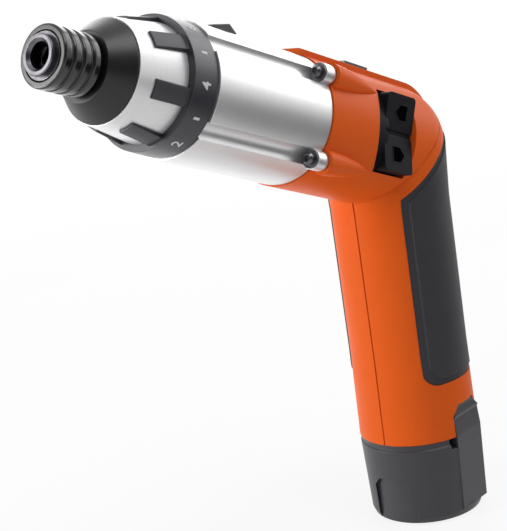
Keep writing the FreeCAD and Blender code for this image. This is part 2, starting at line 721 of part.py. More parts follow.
def lugs(grow):
    forms = []
    for y, z in lug_places(LUG_CIRCLE_R):
        rear = LUG_REAR + LUG_R
        forms.append(rod(LUG_R + grow, rear, LUG_FRONT, y, z))
        forms.append(Part.makeSphere(LUG_R + grow, Vector(rear, y, z)))
    return fused(forms)


def gear_case():
    rear = HOUSING_FRONT + CASE_GAP
    spigot_r = HOUSING_BORE_R - SLIP_FIT
    case = fused([rod(CASE_R, rear, CASE_FRONT), rod(spigot_r, rear - SPIGOT_LENGTH, rear + OVERRUN),
                  rod(NECK_R, CASE_FRONT - OVERRUN, NECK_FRONT), lugs(0)])
    ring_front = STAGE_TWO_REAR + STAGE_LENGTH
    case = case.cut(rod(RING_OUTER_R + SLIP_FIT, rear - SPIGOT_LENGTH - OVERRUN, ring_front + RUN_FIT))
    case = case.cut(rod(CHAMBER_R, ring_front + RUN_FIT, CHAMBER_FRONT))
    case = case.cut(rod(NECK_BORE_R, CHAMBER_FRONT - OVERRUN, NECK_FRONT + OVERRUN))
    for y, z in lug_places(LUG_CIRCLE_R):
        case = case.cut(rod(FLUTE_R, LUG_FRONT, CASE_FRONT + OVERRUN, y, z))
        case = case.cut(rod(CASE_SCREW_R + RUN_FIT, LUG_REAR - OVERRUN, LUG_FRONT + OVERRUN, y, z))
    pocket_rear = SELECTOR_REAR - SELECTOR_TRAVEL - MOVE_GAP
    pocket_front = SELECTOR_FRONT + MOVE_GAP
    pocket_half = SELECTOR_HALF_WIDTH + MOVE_GAP
    case = case.cut(block((pocket_rear, pocket_front), (-pocket_half, pocket_half),
                          (SELECTOR_BASE - SLIP_FIT, REACH)))
    slot_half = STEM_HALF_WIDTH + MOVE_GAP
    return case.cut(block((STEM_REAR - SELECTOR_TRAVEL - MOVE_GAP, STEM_FRONT + MOVE_GAP), (-slot_half, slot_half),
                          (NECK_R, REACH)))


def gear_case_screws():
    """Flanged screws with low domed heads, one in each lug."""
    tip = LUG_FRONT - CASE_SCREW_LENGTH
    flange = LUG_FRONT + CASE_SCREW_FLANGE
    top = flange + CASE_SCREW_HEAD
    dome = top - CASE_SCREW_DOME
    form = turned([(tip, 0), (tip, CASE_SCREW_R), (LUG_FRONT, CASE_SCREW_R), (LUG_FRONT, CASE_SCREW_FLANGE_R),
                   (flange, CASE_SCREW_FLANGE_R), (flange, CASE_SCREW_HEAD_R), (dome, CASE_SCREW_HEAD_R),
                   (top, CASE_SCREW_HEAD_R - CASE_SCREW_DOME), (top, 0)])
    form = form.cut(hexagon(CASE_SCREW_RECESS_AF, top - CASE_SCREW_RECESS_DEPTH, top + OVERRUN))
    places = lug_places(LUG_CIRCLE_R)
    return Part.makeCompound([placed(form, Placement(Vector(0, y, z), Rotation())) for y, z in places])


def speed_selector():
    half = SELECTOR_HALF_WIDTH
    profile = [(SELECTOR_REAR, SELECTOR_BASE), (SELECTOR_REAR, SELECTOR_BASE + SELECTOR_REAR_EDGE),
               (SELECTOR_REAR + SELECTOR_CREST, SELECTOR_BASE + SELECTOR_HEIGHT),
               (SELECTOR_FRONT, SELECTOR_BASE + SELECTOR_FRONT_EDGE), (SELECTOR_FRONT, SELECTOR_BASE)]
    corners = [Vector(x, -half, z) for x, z in profile]
    button = Part.Face(Part.makePolygon(corners + corners[:1])).extrude(Vector(0, half + half, 0))
    stem = block((STEM_REAR, STEM_FRONT), (-STEM_HALF_WIDTH, STEM_HALF_WIDTH),
                 (FORK_OUTER_R + RUN_FIT, SELECTOR_BASE + OVERRUN))
    return button.fuse(stem)


def speed_fork():
    fork = tube(FORK_OUTER_R, FORK_INNER_R, STEM_REAR, STEM_FRONT)
    return fork.cut(block((STEM_REAR - OVERRUN, STEM_FRONT + OVERRUN), (-REACH, REACH), (-REACH, 0)))


# Barrel housing

def housing_screw_bosses():
    return [cross_rod(SCREW_BOSS_R, -BARREL_R, BARREL_R, x, z) for x, z in HOUSING_SCREW_PLACES]


def screw_fairing(front, tip):
    """Pointed round nose that carries a case screw and runs out on the housing."""
    reach = tip.sub(front)
    length = reach.Length
    start_r = LUG_R + BOSS_WALL
    drop = start_r - BOSS_TIP_R
    curve_r = (length * length + drop * drop) / (drop + drop)
    middle = length / 2.0
    middle_r = start_r - curve_r + math.sqrt(curve_r * curve_r - middle * middle)
    start, end = Vector(0, 0, start_r), Vector(length, 0, BOSS_TIP_R)
    lines = [Part.makeLine(Vector(0, 0, 0), start), Part.Arc(start, Vector(middle, 0, middle_r), end).toShape(),
             Part.makeLine(end, Vector(length, 0, 0)), Part.makeLine(Vector(length, 0, 0), Vector(0, 0, 0))]
    nose = Part.Face(Part.Wire(lines)).revolve(Vector(0, 0, 0), Vector(1, 0, 0), 360)
    return placed(nose, Placement(front, Rotation(Vector(1, 0, 0), reach)))


def housing_outer():
    capsule = rod(BARREL_R, 0, HOUSING_FRONT).fuse(Part.makeSphere(BARREL_R))
    spine_limit = rod(SPINE_CORNER_R, 0, HOUSING_FRONT).fuse(Part.makeSphere(SPINE_CORNER_R))
    spine = block((SPINE_REAR, HOUSING_FRONT), (-SPINE_HALF_WIDTH, SPINE_HALF_WIDTH), (HOUSING_BORE_R, SPINE_TOP))
    forms = [capsule, spine.common(spine_limit)]
    for (y, z), (tip_y, tip_z) in zip(lug_places(LUG_CIRCLE_R), lug_places(BOSS_TIP_CIRCLE_R)):
        front = Vector(BOSS_FRONT, y, z)
        tip = Vector(BOSS_TIP, tip_y, tip_z)
        forms.append(screw_fairing(front, tip))
    return fused(forms)


def housing_cavity():
    cavity = rod(HOUSING_BORE_R, 0, HOUSING_FRONT + OVERRUN).fuse(Part.makeSphere(HOUSING_BORE_R))
    cavity = cavity.common(placed(housing_side(SEAM_WALL), TILT_PLACE))
    for station in RIB_STATIONS:
        cavity = cavity.cut(tube(HOUSING_BORE_R + OVERRUN, MOTOR_R + RUN_FIT, station, station + RIB_THICKNESS))
    return cavity.cut(fused(housing_screw_bosses()))


def rocker_block(x_range, half_length, low, high):
    return about_barrel(block(x_range, (low, high), (-half_length, half_length)), ROCKER_TURN)


def rocker_bow(margin):
    """Room behind the bowed front edge of the rocker's window."""
    bow = cross_rod(ROCKER_BOW_R + margin, 0, REACH, ROCKER_SKIRT_FRONT - ROCKER_BOW_R, 0)
    return about_barrel(bow, ROCKER_TURN)


def pin_span():
    """Outer ends of the two bosses that carry the rocker's pin."""
    return ROCKER_REAR - ROCKER_CLEAR - PIN_BOSS_LENGTH, ROCKER_SKIRT_FRONT + ROCKER_CLEAR + PIN_BOSS_LENGTH


def pin_bosses():
    rear, front = pin_span()
    return [rocker_block(x_range, PIN_BOSS_HALF, PIN_BOSS_LOW, HOUSING_BORE_R + OVERRUN)
            for x_range in ((rear, rear + PIN_BOSS_LENGTH), (front - PIN_BOSS_LENGTH, front))]


def rocker_pin_form(radius):
    rear, front = pin_span()
    return about_barrel(rod(radius, rear, front, ROCKER_PIN_LIFT, 0), ROCKER_TURN)


def housing_halves():
    shell = housing_outer().cut(housing_cavity())
    shell = shell.common(placed(housing_side(SEAM_GAP_HALF), TILT_PLACE))
    shell = shell.cut(placed(rod(HUB_R + RUN_FIT, -HUB_FLANGE_R, HUB_FLANGE_R), TILT_PLACE))
    shell = shell.cut(lugs(SLIP_FIT))
    for y, z in lug_places(LUG_CIRCLE_R):
        shell = shell.cut(rod(CASE_SCREW_R, LUG_FRONT - CASE_SCREW_LENGTH, LUG_FRONT, y, z))
    gauge_floor = SPINE_TOP + GAUGE_PROUD - GAUGE_THICKNESS
    shell = shell.cut(block((GAUGE_REAR, GAUGE_FRONT), (-GAUGE_HALF_WIDTH, GAUGE_HALF_WIDTH), (gauge_floor, REACH)))
    left, right = halves(shell)
    window = (ROCKER_REAR - ROCKER_CLEAR, ROCKER_SKIRT_FRONT + ROCKER_CLEAR)
    opening = rocker_block(window, ROCKER_HALF_LENGTH + ROCKER_CLEAR, ROCKER_WINDOW_LOW, REACH)
    left = left.cut(opening.common(rocker_bow(ROCKER_CLEAR)))
    outer_limit = rod(BARREL_R, 0, HOUSING_FRONT)
    left = fused([left] + [boss.common(outer_limit) for boss in pin_bosses()])
    left = left.cut(rocker_pin_form(ROCKER_PIN_R + RUN_FIT))
    for x, z in HOUSING_SCREW_PLACES:
        head_seat = screw_seat(BARREL_R, z)
        right = right.cut(cross_rod(SCREW_HEAD_R + SLIP_FIT, -REACH, head_seat, x, z))
        right = right.cut(cross_rod(SCREW_R + RUN_FIT, -REACH, OVERRUN, x, z))
        left = left.cut(cross_rod(SCREW_R, -OVERRUN, SCREW_REACH, x, z))
    return left, right


def housing_screws():
    screws = []
    for x, z in HOUSING_SCREW_PLACES:
        head_seat = screw_seat(BARREL_R, z)
        head = cross_rod(SCREW_HEAD_R, head_seat - SCREW_HEAD, head_seat, x, z)
        screws.append(head.fuse(cross_rod(SCREW_R, head_seat, SCREW_REACH, x, z)))
    return Part.makeCompound(screws)


def rocker_button():
    """Paddle with two flat facets in a shallow V, and a sunk skirt that closes the window in front of it."""
    facet_end = ROCKER_MIDDLE + ROCKER_END_RISE
    profile = [(0, -ROCKER_HALF_LENGTH), (facet_end, -ROCKER_HALF_LENGTH), (ROCKER_MIDDLE, 0),
               (facet_end, ROCKER_HALF_LENGTH), (0, ROCKER_HALF_LENGTH)]
    corners = [Vector(ROCKER_REAR, y, z) for y, z in profile]
    paddle = Part.Face(Part.makePolygon(corners + corners[:1])).extrude(Vector(ROCKER_FRONT - ROCKER_REAR, 0, 0))
    outline = block((ROCKER_REAR, ROCKER_FRONT), (0, REACH), (-ROCKER_HALF_LENGTH, ROCKER_HALF_LENGTH))
    corner_lines = [edge for edge in outline.Edges if edge.BoundBox.YLength > OVERRUN]
    rounded = outline.makeFillet(ROCKER_CORNER_R, corner_lines)
    paddle = about_barrel(paddle.common(rounded), ROCKER_TURN)
    skirt_r = BARREL_R - ROCKER_SKIRT_SINK
    skirt_start = ROCKER_FRONT - ROCKER_CORNER_R
    skirt = rocker_block((skirt_start, ROCKER_SKIRT_FRONT), ROCKER_HALF_LENGTH, 0, REACH)
    skirt = skirt.common(rod(skirt_r, skirt_start, ROCKER_SKIRT_FRONT)).common(rocker_bow(0))
    button = paddle.fuse(skirt).cut(rod(ROCKER_INNER_R, ROCKER_REAR - OVERRUN, ROCKER_SKIRT_FRONT + OVERRUN))
    face = (ROCKER_REAR, ROCKER_FRONT)
    rib = rocker_block(face, ROCKER_RIB_HALF, ROCKER_RIB_LOW, ROCKER_INNER_R + OVERRUN)
    groove = rocker_block((ROCKER_REAR - OVERRUN, ROCKER_FRONT), ROCKER_GROOVE_HALF,
                          ROCKER_MIDDLE - ROCKER_GROOVE_DEPTH, REACH)
    return button.cut(groove).fuse(rib).cut(rocker_pin_form(ROCKER_PIN_R + RUN_FIT))


def switch_module():
    half = SWITCH_HALF_HEIGHT
    module = block((SWITCH_REAR, SWITCH_FRONT), (SWITCH_LOW, SWITCH_HIGH), (-half, half))
    middle = (SWITCH_REAR + SWITCH_FRONT) / 2.0
    for z in (-SWITCH_PLUNGER_OFFSET, SWITCH_PLUNGER_OFFSET):
        module = module.fuse(cross_rod(SWITCH_PLUNGER_R, SWITCH_HIGH - OVERRUN, SWITCH_HIGH + SWITCH_PLUNGER,
                                       middle, z))
    return about_barrel(module, ROCKER_TURN)


def gauge_window():
    top = SPINE_TOP + GAUGE_PROUD
    return block((GAUGE_REAR + RUN_FIT, GAUGE_FRONT - RUN_FIT),
                 (-GAUGE_HALF_WIDTH + RUN_FIT, GAUGE_HALF_WIDTH - RUN_FIT), (top - GAUGE_THICKNESS, top))


def gauge_board():
    return block((BOARD_REAR, BOARD_FRONT), (-BOARD_HALF_WIDTH, BOARD_HALF_WIDTH),
                 (BOARD_LOW, BOARD_LOW + BOARD_THICKNESS))


# Twist joint, in the twist frame

def twist_hub():
    tail = SEAM_WALL + MOVE_GAP + HUB_RING + HUB_TAIL
    hub = turned([(-SEAM_WALL - HUB_FLANGE, HUB_BORE_R), (-SEAM_WALL - HUB_FLANGE, HUB_FLANGE_R),
                  (-SEAM_WALL, HUB_FLANGE_R), (-SEAM_WALL, HUB_R), (tail, HUB_R), (tail, HUB_BORE_R)])
    return hub


def hub_ring():
    start = SEAM_WALL + MOVE_GAP
    return tube(HUB_RING_R, HUB_R, start, start + HUB_RING)


# Handle

def handle_outer(grow):
    """Handle with a slight flare at its foot and another into the ball at the pivot."""
    stem = lathed([(0, HANDLE_BOTTOM), (FOOT_R + grow, HANDLE_BOTTOM), (HANDLE_R + grow, FOOT_TOP),
                   (HANDLE_R + grow, FLARE_BOTTOM), (BARREL_R + grow, PIVOT_HEIGHT), (0, PIVOT_HEIGHT)])
    return stem.fuse(Part.makeSphere(BARREL_R + grow, PIVOT))


def handle_side(offset):
    """Half space below a plane parallel to the twist seam, in the row frame."""
    return placed(block((-REACH, -offset), (-REACH, REACH), (-REACH, REACH)), TWIST_PLACE)


def grip_region(margin):
    """Side outline of the rubber grip, drawn across the handle."""
    corner = GRIP_CORNER_R
    front = GRIP_FRONT + margin
    bottom = GRIP_BOTTOM - margin
    middle = corner * (1.0 - math.sqrt(0.5))
    lines = [Part.makeLine(Vector(-REACH, -REACH, bottom), Vector(front - corner, -REACH, bottom)),
             Part.Arc(Vector(front - corner, -REACH, bottom), Vector(front - middle, -REACH, bottom + middle),
                      Vector(front, -REACH, bottom + corner)).toShape(),
             Part.makeLine(Vector(front, -REACH, bottom + corner), Vector(front, -REACH, REACH)),
             Part.makeLine(Vector(front, -REACH, REACH), Vector(-REACH, -REACH, REACH)),
             Part.makeLine(Vector(-REACH, -REACH, REACH), Vector(-REACH, -REACH, bottom))]
    outline = Part.Face(Part.Wire(lines)).extrude(Vector(0, REACH + REACH, 0))
    return outline.common(handle_side(GRIP_BAND - margin))


def rear_grip():
    """Rubber skin with a raised pad inside a sunk border."""
    core = handle_outer(-GRIP_DEPTH)
    skin = handle_outer(-GRIP_BORDER_SINK).cut(core).common(grip_region(0))
    pad = handle_outer(GRIP_PAD_PROUD).cut(core).common(grip_region(-GRIP_BORDER))
    return skin.fuse(pad)


def handle_cavity():
    throat = post(THROAT_R, HANDLE_BOTTOM - OVERRUN, CONTACT_HIGH + CONTACT_RIB)
    bay = post(HANDLE_BORE_R, HANDLE_BORE_BOTTOM, PIVOT_HEIGHT).fuse(Part.makeSphere(HANDLE_BORE_R, PIVOT))
    bay = bay.common(handle_side(SEAM_WALL))
    for level in HANDLE_RIB_LEVELS + (CONTACT_HIGH,):
        rib = post(HANDLE_BORE_R + OVERRUN, level, level + RIB_THICKNESS)
        bay = bay.cut(rib.cut(post(THROAT_R, level - OVERRUN, level + RIB_THICKNESS + OVERRUN)))
    bosses = [cross_rod(SCREW_BOSS_R, -HANDLE_R, HANDLE_R, x, z) for x, z in HANDLE_SCREW_PLACES]
    bay = bay.cut(fused(bosses).cut(post(THROAT_R, HANDLE_BOTTOM, PIVOT_HEIGHT)))
    return bay.fuse(throat)


def latch_outline(margin, bottom, depth_range):
    """Latch panel seen from its side of the handle, with cut top corners, drawn through a range of depths."""
    half = LATCH_HALF_WIDTH + margin
    top = LATCH_TOP + margin
    shoulder = half - LATCH_CORNER_WIDTH
    shape = [(-half, bottom), (half, bottom), (half, top - LATCH_CORNER_HEIGHT), (shoulder, top),
             (-shoulder, top), (-half, top - LATCH_CORNER_HEIGHT)]
    corners = [Vector(x + LATCH_SHIFT, depth_range[0], z) for x, z in shape]
    return Part.Face(Part.makePolygon(corners + corners[:1])).extrude(Vector(0, depth_range[1] - depth_range[0], 0))


def latch_pocket(bottom):
    """Room that the latch needs in the cap and the handle, with its travel."""
    return latch_outline(LATCH_GAP, bottom, (LATCH_INNER - LATCH_TRAVEL - LATCH_GAP, REACH))


def panel(profile):
    """Flat panel across the side of the pack from (y, level) points."""
    corners = [Vector(LATCH_SHIFT - LATCH_HALF_WIDTH, y, level) for y, level in profile]
    width = LATCH_HALF_WIDTH + LATCH_HALF_WIDTH
    return Part.Face(Part.makePolygon(corners + corners[:1])).extrude(Vector(width, 0, 0))


def panel_out(level):
    """How far out the panel's lower slope stands at a level below the rim."""
    share = (level - LATCH_FOOT) / (HANDLE_BOTTOM - LATCH_FOOT)
    return LATCH_FOOT_OUT + share * (LATCH_RIM_OUT - LATCH_FOOT_OUT)


def mirrored(shape):
    return shape.mirror(Vector(0, 0, 0), Vector(0, 1, 0))


def handle_halves():
    shell = handle_outer(0).cut(handle_cavity())
    shell = shell.common(handle_side(SEAM_GAP_HALF))
    shell = shell.cut(placed(rod(HUB_R, -HUB_FLANGE_R, HUB_FLANGE_R), TWIST_PLACE))
    groove = handle_outer(OVERRUN).cut(handle_outer(-GRIP_DEPTH))
    shell = shell.cut(groove.common(grip_region(0)))
    notch = latch_pocket(HANDLE_BOTTOM - OVERRUN)
    shell = shell.cut(notch).cut(mirrored(notch))
    parting = handle_outer(OVERRUN).cut(handle_outer(-PARTING_DEPTH))
    shell = shell.cut(parting.common(block((0, REACH), (-PARTING_HALF, PARTING_HALF), (0, REACH))))
    left, right = halves(shell)
    for x, z in HANDLE_SCREW_PLACES:
        seat = screw_seat(HANDLE_R - GRIP_DEPTH, x)
        right = right.cut(cross_rod(SCREW_HEAD_R + SLIP_FIT, -REACH, seat, x, z))
        right = right.cut(cross_rod(SCREW_R + RUN_FIT, -REACH, OVERRUN, x, z))
        left = left.cut(cross_rod(SCREW_R, -OVERRUN, SCREW_REACH, x, z))
    return left, right


def handle_screws():
    screws = []
    for x, z in HANDLE_SCREW_PLACES:
        seat = screw_seat(HANDLE_R - GRIP_DEPTH, x)
        head = cross_rod(SCREW_HEAD_R, seat - SCREW_HEAD, seat, x, z)
        screws.append(head.fuse(cross_rod(SCREW_R, seat, SCREW_REACH, x, z)))
    return Part.makeCompound(screws)


def contact_block():
    return post(THROAT_R, CONTACT_LOW, CONTACT_HIGH).fuse(
        post(THROAT_R - CONTACT_RIB, CONTACT_LOW, CONTACT_HIGH + CONTACT_RIB))


# Battery pack

def battery_cap():
    band = CAP_TOP - RIM_BAND
    edge = CAP_EDGE_R * (1.0 - math.sqrt(0.5))
    cap = lathed([(0, 0), (CAP_BASE_R - CAP_EDGE_R, 0), (CAP_BASE_R - edge, edge), (CAP_BASE_R, CAP_EDGE_R),
                  (CAP_RIM_R, band - RIM_BEVEL), (CAP_RIM_R - RIM_INSET, band), (CAP_RIM_R - RIM_INSET, CAP_TOP),
                  (CAP_BORE_R, CAP_TOP), (CAP_BORE_R, CORE_FLANGE_BOTTOM), (CORE_R, CORE_FLANGE_BOTTOM),
                  (CORE_R, CAP_FLOOR), (0, CAP_FLOOR)])
    seat = LATCH_BOTTOM - LATCH_SEAT_GAP
    foot = panel([(CORE_R, LATCH_FOOT), (LATCH_FOOT_OUT, LATCH_FOOT), (panel_out(seat), seat), (CORE_R, seat)])
    beyond = panel([(LATCH_FOOT_OUT, LATCH_FOOT), (REACH, LATCH_FOOT), (REACH, seat), (panel_out(seat), seat)])
    slot_start = LATCH_SHIFT + LATCH_HALF_WIDTH + LATCH_GAP
    slot = block((slot_start, slot_start + RIM_SLOT), (LATCH_INNER, REACH), (CAP_TOP - RIM_SLOT_DEPTH, REACH))
    for side in (latch_pocket(seat), slot, beyond):
        cap = cap.cut(side).cut(mirrored(side))
    cap = fused([cap, foot, mirrored(foot)])
    half = RECESS_HALF_WIDTH
    shoulder = half - RECESS_CORNER
    outline = [(-half, -OVERRUN), (half, -OVERRUN), (half, RECESS_TOP - RECESS_CORNER), (shoulder, RECESS_TOP),
               (-shoulder, RECESS_TOP), (-half, RECESS_TOP - RECESS_CORNER)]
    corners = [Vector(0, y, z) for y, z in outline]
    window = Part.Face(Part.makePolygon(corners + corners[:1])).extrude(Vector(REACH, 0, 0))
    return cap.cut(window.cut(post(CAP_BASE_R - RECESS_DEPTH, -OVERRUN, CAP_TOP)))


def battery_core():
    flange_top = CORE_FLANGE_BOTTOM + CORE_FLANGE
    core = post(CORE_R, CAP_FLOOR + RUN_FIT, CORE_TOP)
    core = core.fuse(post(CAP_BORE_R - RUN_FIT, CORE_FLANGE_BOTTOM, flange_top))
    core = core.cut(post(CORE_BORE_R, CELL_BOTTOM, CORE_TOP - CORE_LID))
    for side in (-1, 1):
        core = core.cut(contact_form(side, SLIP_FIT))
    return core


def contact_form(side, margin):
    inner = CELL_R / 2.0 - margin
    outer = CELL_R / 2.0 + CONTACT_STRIP + margin
    x_range = (inner, outer) if side > 0 else (-outer, -inner)
    half = CONTACT_SLOT_HALF + margin
    return block(x_range, (-half, half), (CELL_BOTTOM + CELL_LENGTH + RUN_FIT - margin, CORE_TOP + margin))


def battery_contacts():
    return Part.makeCompound([contact_form(side, 0) for side in (-1, 1)])


def battery_cell():
    return post(CELL_R, CELL_BOTTOM, CELL_BOTTOM + CELL_LENGTH)


def latch_left():
    """Latch panel with a finger ridge along its top."""
    ridge = LATCH_TOP - LATCH_RIDGE
    share = (ridge - HANDLE_BOTTOM) / (LATCH_TOP - HANDLE_BOTTOM)
    ridge_out = LATCH_RIM_OUT + share * (LATCH_TOP_OUT - LATCH_RIM_OUT)
    form = panel([(LATCH_INNER, LATCH_BOTTOM), (panel_out(LATCH_BOTTOM), LATCH_BOTTOM),
                  (LATCH_RIM_OUT, HANDLE_BOTTOM), (ridge_out, ridge),
                  (ridge_out + LATCH_RIDGE_PROUD, ridge + LATCH_RIDGE_SLOPE),
                  (LATCH_TOP_OUT + LATCH_RIDGE_PROUD, LATCH_TOP - LATCH_RIDGE_SLOPE), (LATCH_TOP_OUT, LATCH_TOP),
                  (LATCH_INNER, LATCH_TOP)])
    return form.common(latch_outline(0, LATCH_BOTTOM, (LATCH_INNER - OVERRUN, REACH)))


def build():
    for name, shape in (("spindle", spindle()), ("locking_ball", locking_ball()),
                        ("retaining_ring", retaining_ring()), ("bit_sleeve", bit_sleeve()),
                        ("sleeve_spring", sleeve_spring()), ("spindle_bush", spindle_bush()),
                        ("torque_ring", torque_ring()), ("torque_ring_shell", torque_ring_shell()),
                        ("clutch_plate", clutch_plate()), ("clutch_spring", clutch_spring()),
                        ("clutch_nut", clutch_nut()), ("nose_cone", nose_cone()), ("gear_case", gear_case()),
                        ("gear_case_screws", gear_case_screws()), ("speed_selector", speed_selector()),
                        ("speed_fork", speed_fork()), ("ring_gear", ring_gear()),
                        ("carrier_one", carrier(STAGE_ONE_REAR, True)),
                        ("carrier_two", carrier(STAGE_TWO_REAR, False)),
                        ("gearbox_back_plate", gearbox_back_plate()), ("motor_can", motor_can()),
                        ("motor_end_cap", motor_end_cap()), ("motor_magnets", motor_magnets()),
                        ("motor_rotor", motor_rotor()), ("motor_pinion", motor_pinion()),
                        ("rocker_button", rocker_button()), ("rocker_pin", rocker_pin_form(ROCKER_PIN_R)),
                        ("switch_module", switch_module()), ("gauge_window", gauge_window()),
                        ("gauge_board", gauge_board()), ("housing_screws", housing_screws())):
        save(name, on_barrel(shape))
    for stage, start in (("one", STAGE_ONE_REAR), ("two", STAGE_TWO_REAR)):
        for index in range(PLANETS):
            save("planet_%s_%s" % (stage, "abc"[index]), on_barrel(planet(index, start)))
    left, right = housing_halves()
    save("housing_left", on_barrel(left))
    save("housing_right", on_barrel(right))
    save("twist_hub", placed(twist_hub(), TWIST_PLACE))
    save("hub_ring", placed(hub_ring(), TWIST_PLACE))
    left, right = handle_halves()
    save("handle_left", left)
    save("handle_right", right)
    save("handle_screws", handle_screws())
    save("rear_grip", rear_grip())
    save("contact_block", contact_block())
    save("battery_cap", battery_cap())
    save("battery_core", battery_core())
    save("battery_cell", battery_cell())
    save("battery_contacts", battery_contacts())
    save("latch_left", latch_left())
    save("latch_right", mirrored(latch_left()))


build()
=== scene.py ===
# %% [markdown]
# # A pistol-grip cordless screwdriver
# The tool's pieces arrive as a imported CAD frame: every shell, gear and screw already has its real size and
# place. This lesson gives those pieces their finishes, adds the printed settings and the arrows that the
# CAD model leaves out, and photographs the result in a white studio. Nothing here moves or resizes a CAD
# piece.

# %% Load the frame
import json
import math

import bmesh
import bpy
from mathutils import Matrix, Vector


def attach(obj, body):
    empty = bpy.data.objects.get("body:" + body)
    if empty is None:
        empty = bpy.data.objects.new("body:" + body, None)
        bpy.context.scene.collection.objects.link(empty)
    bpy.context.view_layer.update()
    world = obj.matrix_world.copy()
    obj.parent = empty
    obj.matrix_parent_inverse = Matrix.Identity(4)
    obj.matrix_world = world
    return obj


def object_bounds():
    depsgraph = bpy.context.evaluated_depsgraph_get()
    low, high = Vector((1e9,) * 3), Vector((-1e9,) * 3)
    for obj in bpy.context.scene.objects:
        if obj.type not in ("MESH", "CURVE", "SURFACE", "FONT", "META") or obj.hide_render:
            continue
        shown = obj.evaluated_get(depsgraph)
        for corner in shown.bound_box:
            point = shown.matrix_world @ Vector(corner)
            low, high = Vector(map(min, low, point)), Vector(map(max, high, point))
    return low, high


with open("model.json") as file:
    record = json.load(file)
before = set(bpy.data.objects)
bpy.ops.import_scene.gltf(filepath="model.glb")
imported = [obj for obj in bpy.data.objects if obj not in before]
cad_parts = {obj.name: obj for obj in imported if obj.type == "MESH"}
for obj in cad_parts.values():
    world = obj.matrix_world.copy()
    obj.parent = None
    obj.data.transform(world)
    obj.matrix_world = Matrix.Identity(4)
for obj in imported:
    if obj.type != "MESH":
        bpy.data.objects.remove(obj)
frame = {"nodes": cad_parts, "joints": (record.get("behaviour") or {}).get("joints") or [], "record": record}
cad_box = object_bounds()

# %% [markdown]
# ## Where the barrel is
# The barrel leans back, so marks on it are easiest to place in its own frame: x along the barrel from the
# pivot of the twisting handle, y to the tool's left, z up. That frame could be measured on the meshes, but
# two joints already know the pivot and the direction, so they are read from there.

# %% Barrel frame
MM = 0.001


def standing_frame(origin, x_axis, y_axis, z_axis):
    """Matrix from a frame with this origin and these axes to the tool's frame."""
    return Matrix.Translation(origin) @ Matrix((x_axis, y_axis, z_axis)).transposed().to_4x4()


joints = {joint["name"]: joint for joint in frame["joints"]}
pivot = Vector(joints["handle_twist"]["pos_m"])
barrel_axis = Vector(joints["torque_ring_turn"]["axis"]).normalized()
left_axis = Vector((0, 1, 0))
barrel_frame = standing_frame(pivot, barrel_axis, left_axis, barrel_axis.cross(left_axis))
barrel_pitch = math.asin(barrel_axis.z)
print("barrel leans back by", round(math.degrees(barrel_pitch), 1), "degrees")

# %% [markdown]
# ## Writing shaders as sums
# A finish is a tree of nodes. Wiring each node by hand hides the idea, so a small class wraps a socket and
# lets Python's own operators add the Math nodes. A formula such as `1 - edge * 0.3` then reads the way it
# would on paper.

# %% Sums on sockets
class Value:
    """One socket of a finish, ready to take part in a sum."""

    def __init__(self, finish, socket):
        self.finish = finish
        self.socket = socket

    def maths(self, operation, first, second):
        return self.finish.node("Math", {"operation": operation}, {0: first, 1: second})

    def __add__(self, other):
        return self.maths("ADD", self, other)

    def __radd__(self, other):
        return self.maths("ADD", other, self)

    def __sub__(self, other):
        return self.maths("SUBTRACT", self, other)

    def __rsub__(self, other):
        return self.maths("SUBTRACT", other, self)

    def __mul__(self, other):
        return self.maths("MULTIPLY", self, other)

    def __rmul__(self, other):
        return self.maths("MULTIPLY", other, self)


print("sockets can be added, subtracted and multiplied")

# %% [markdown]
# ## One class for every finish
# Each finish is a material with one shader. Its class has a single method that adds a node of any kind, and
# short methods for what the finishes share: noise, ramps, mixed colours, relief and softened edges. Real
# bevels on every CAD edge would cost many faces, so a Bevel node bends the normals near an edge instead.

# %% Finishes
BEVEL_SAMPLES = 6
EDGE_START, EDGE_FULL = 0.01, 0.2


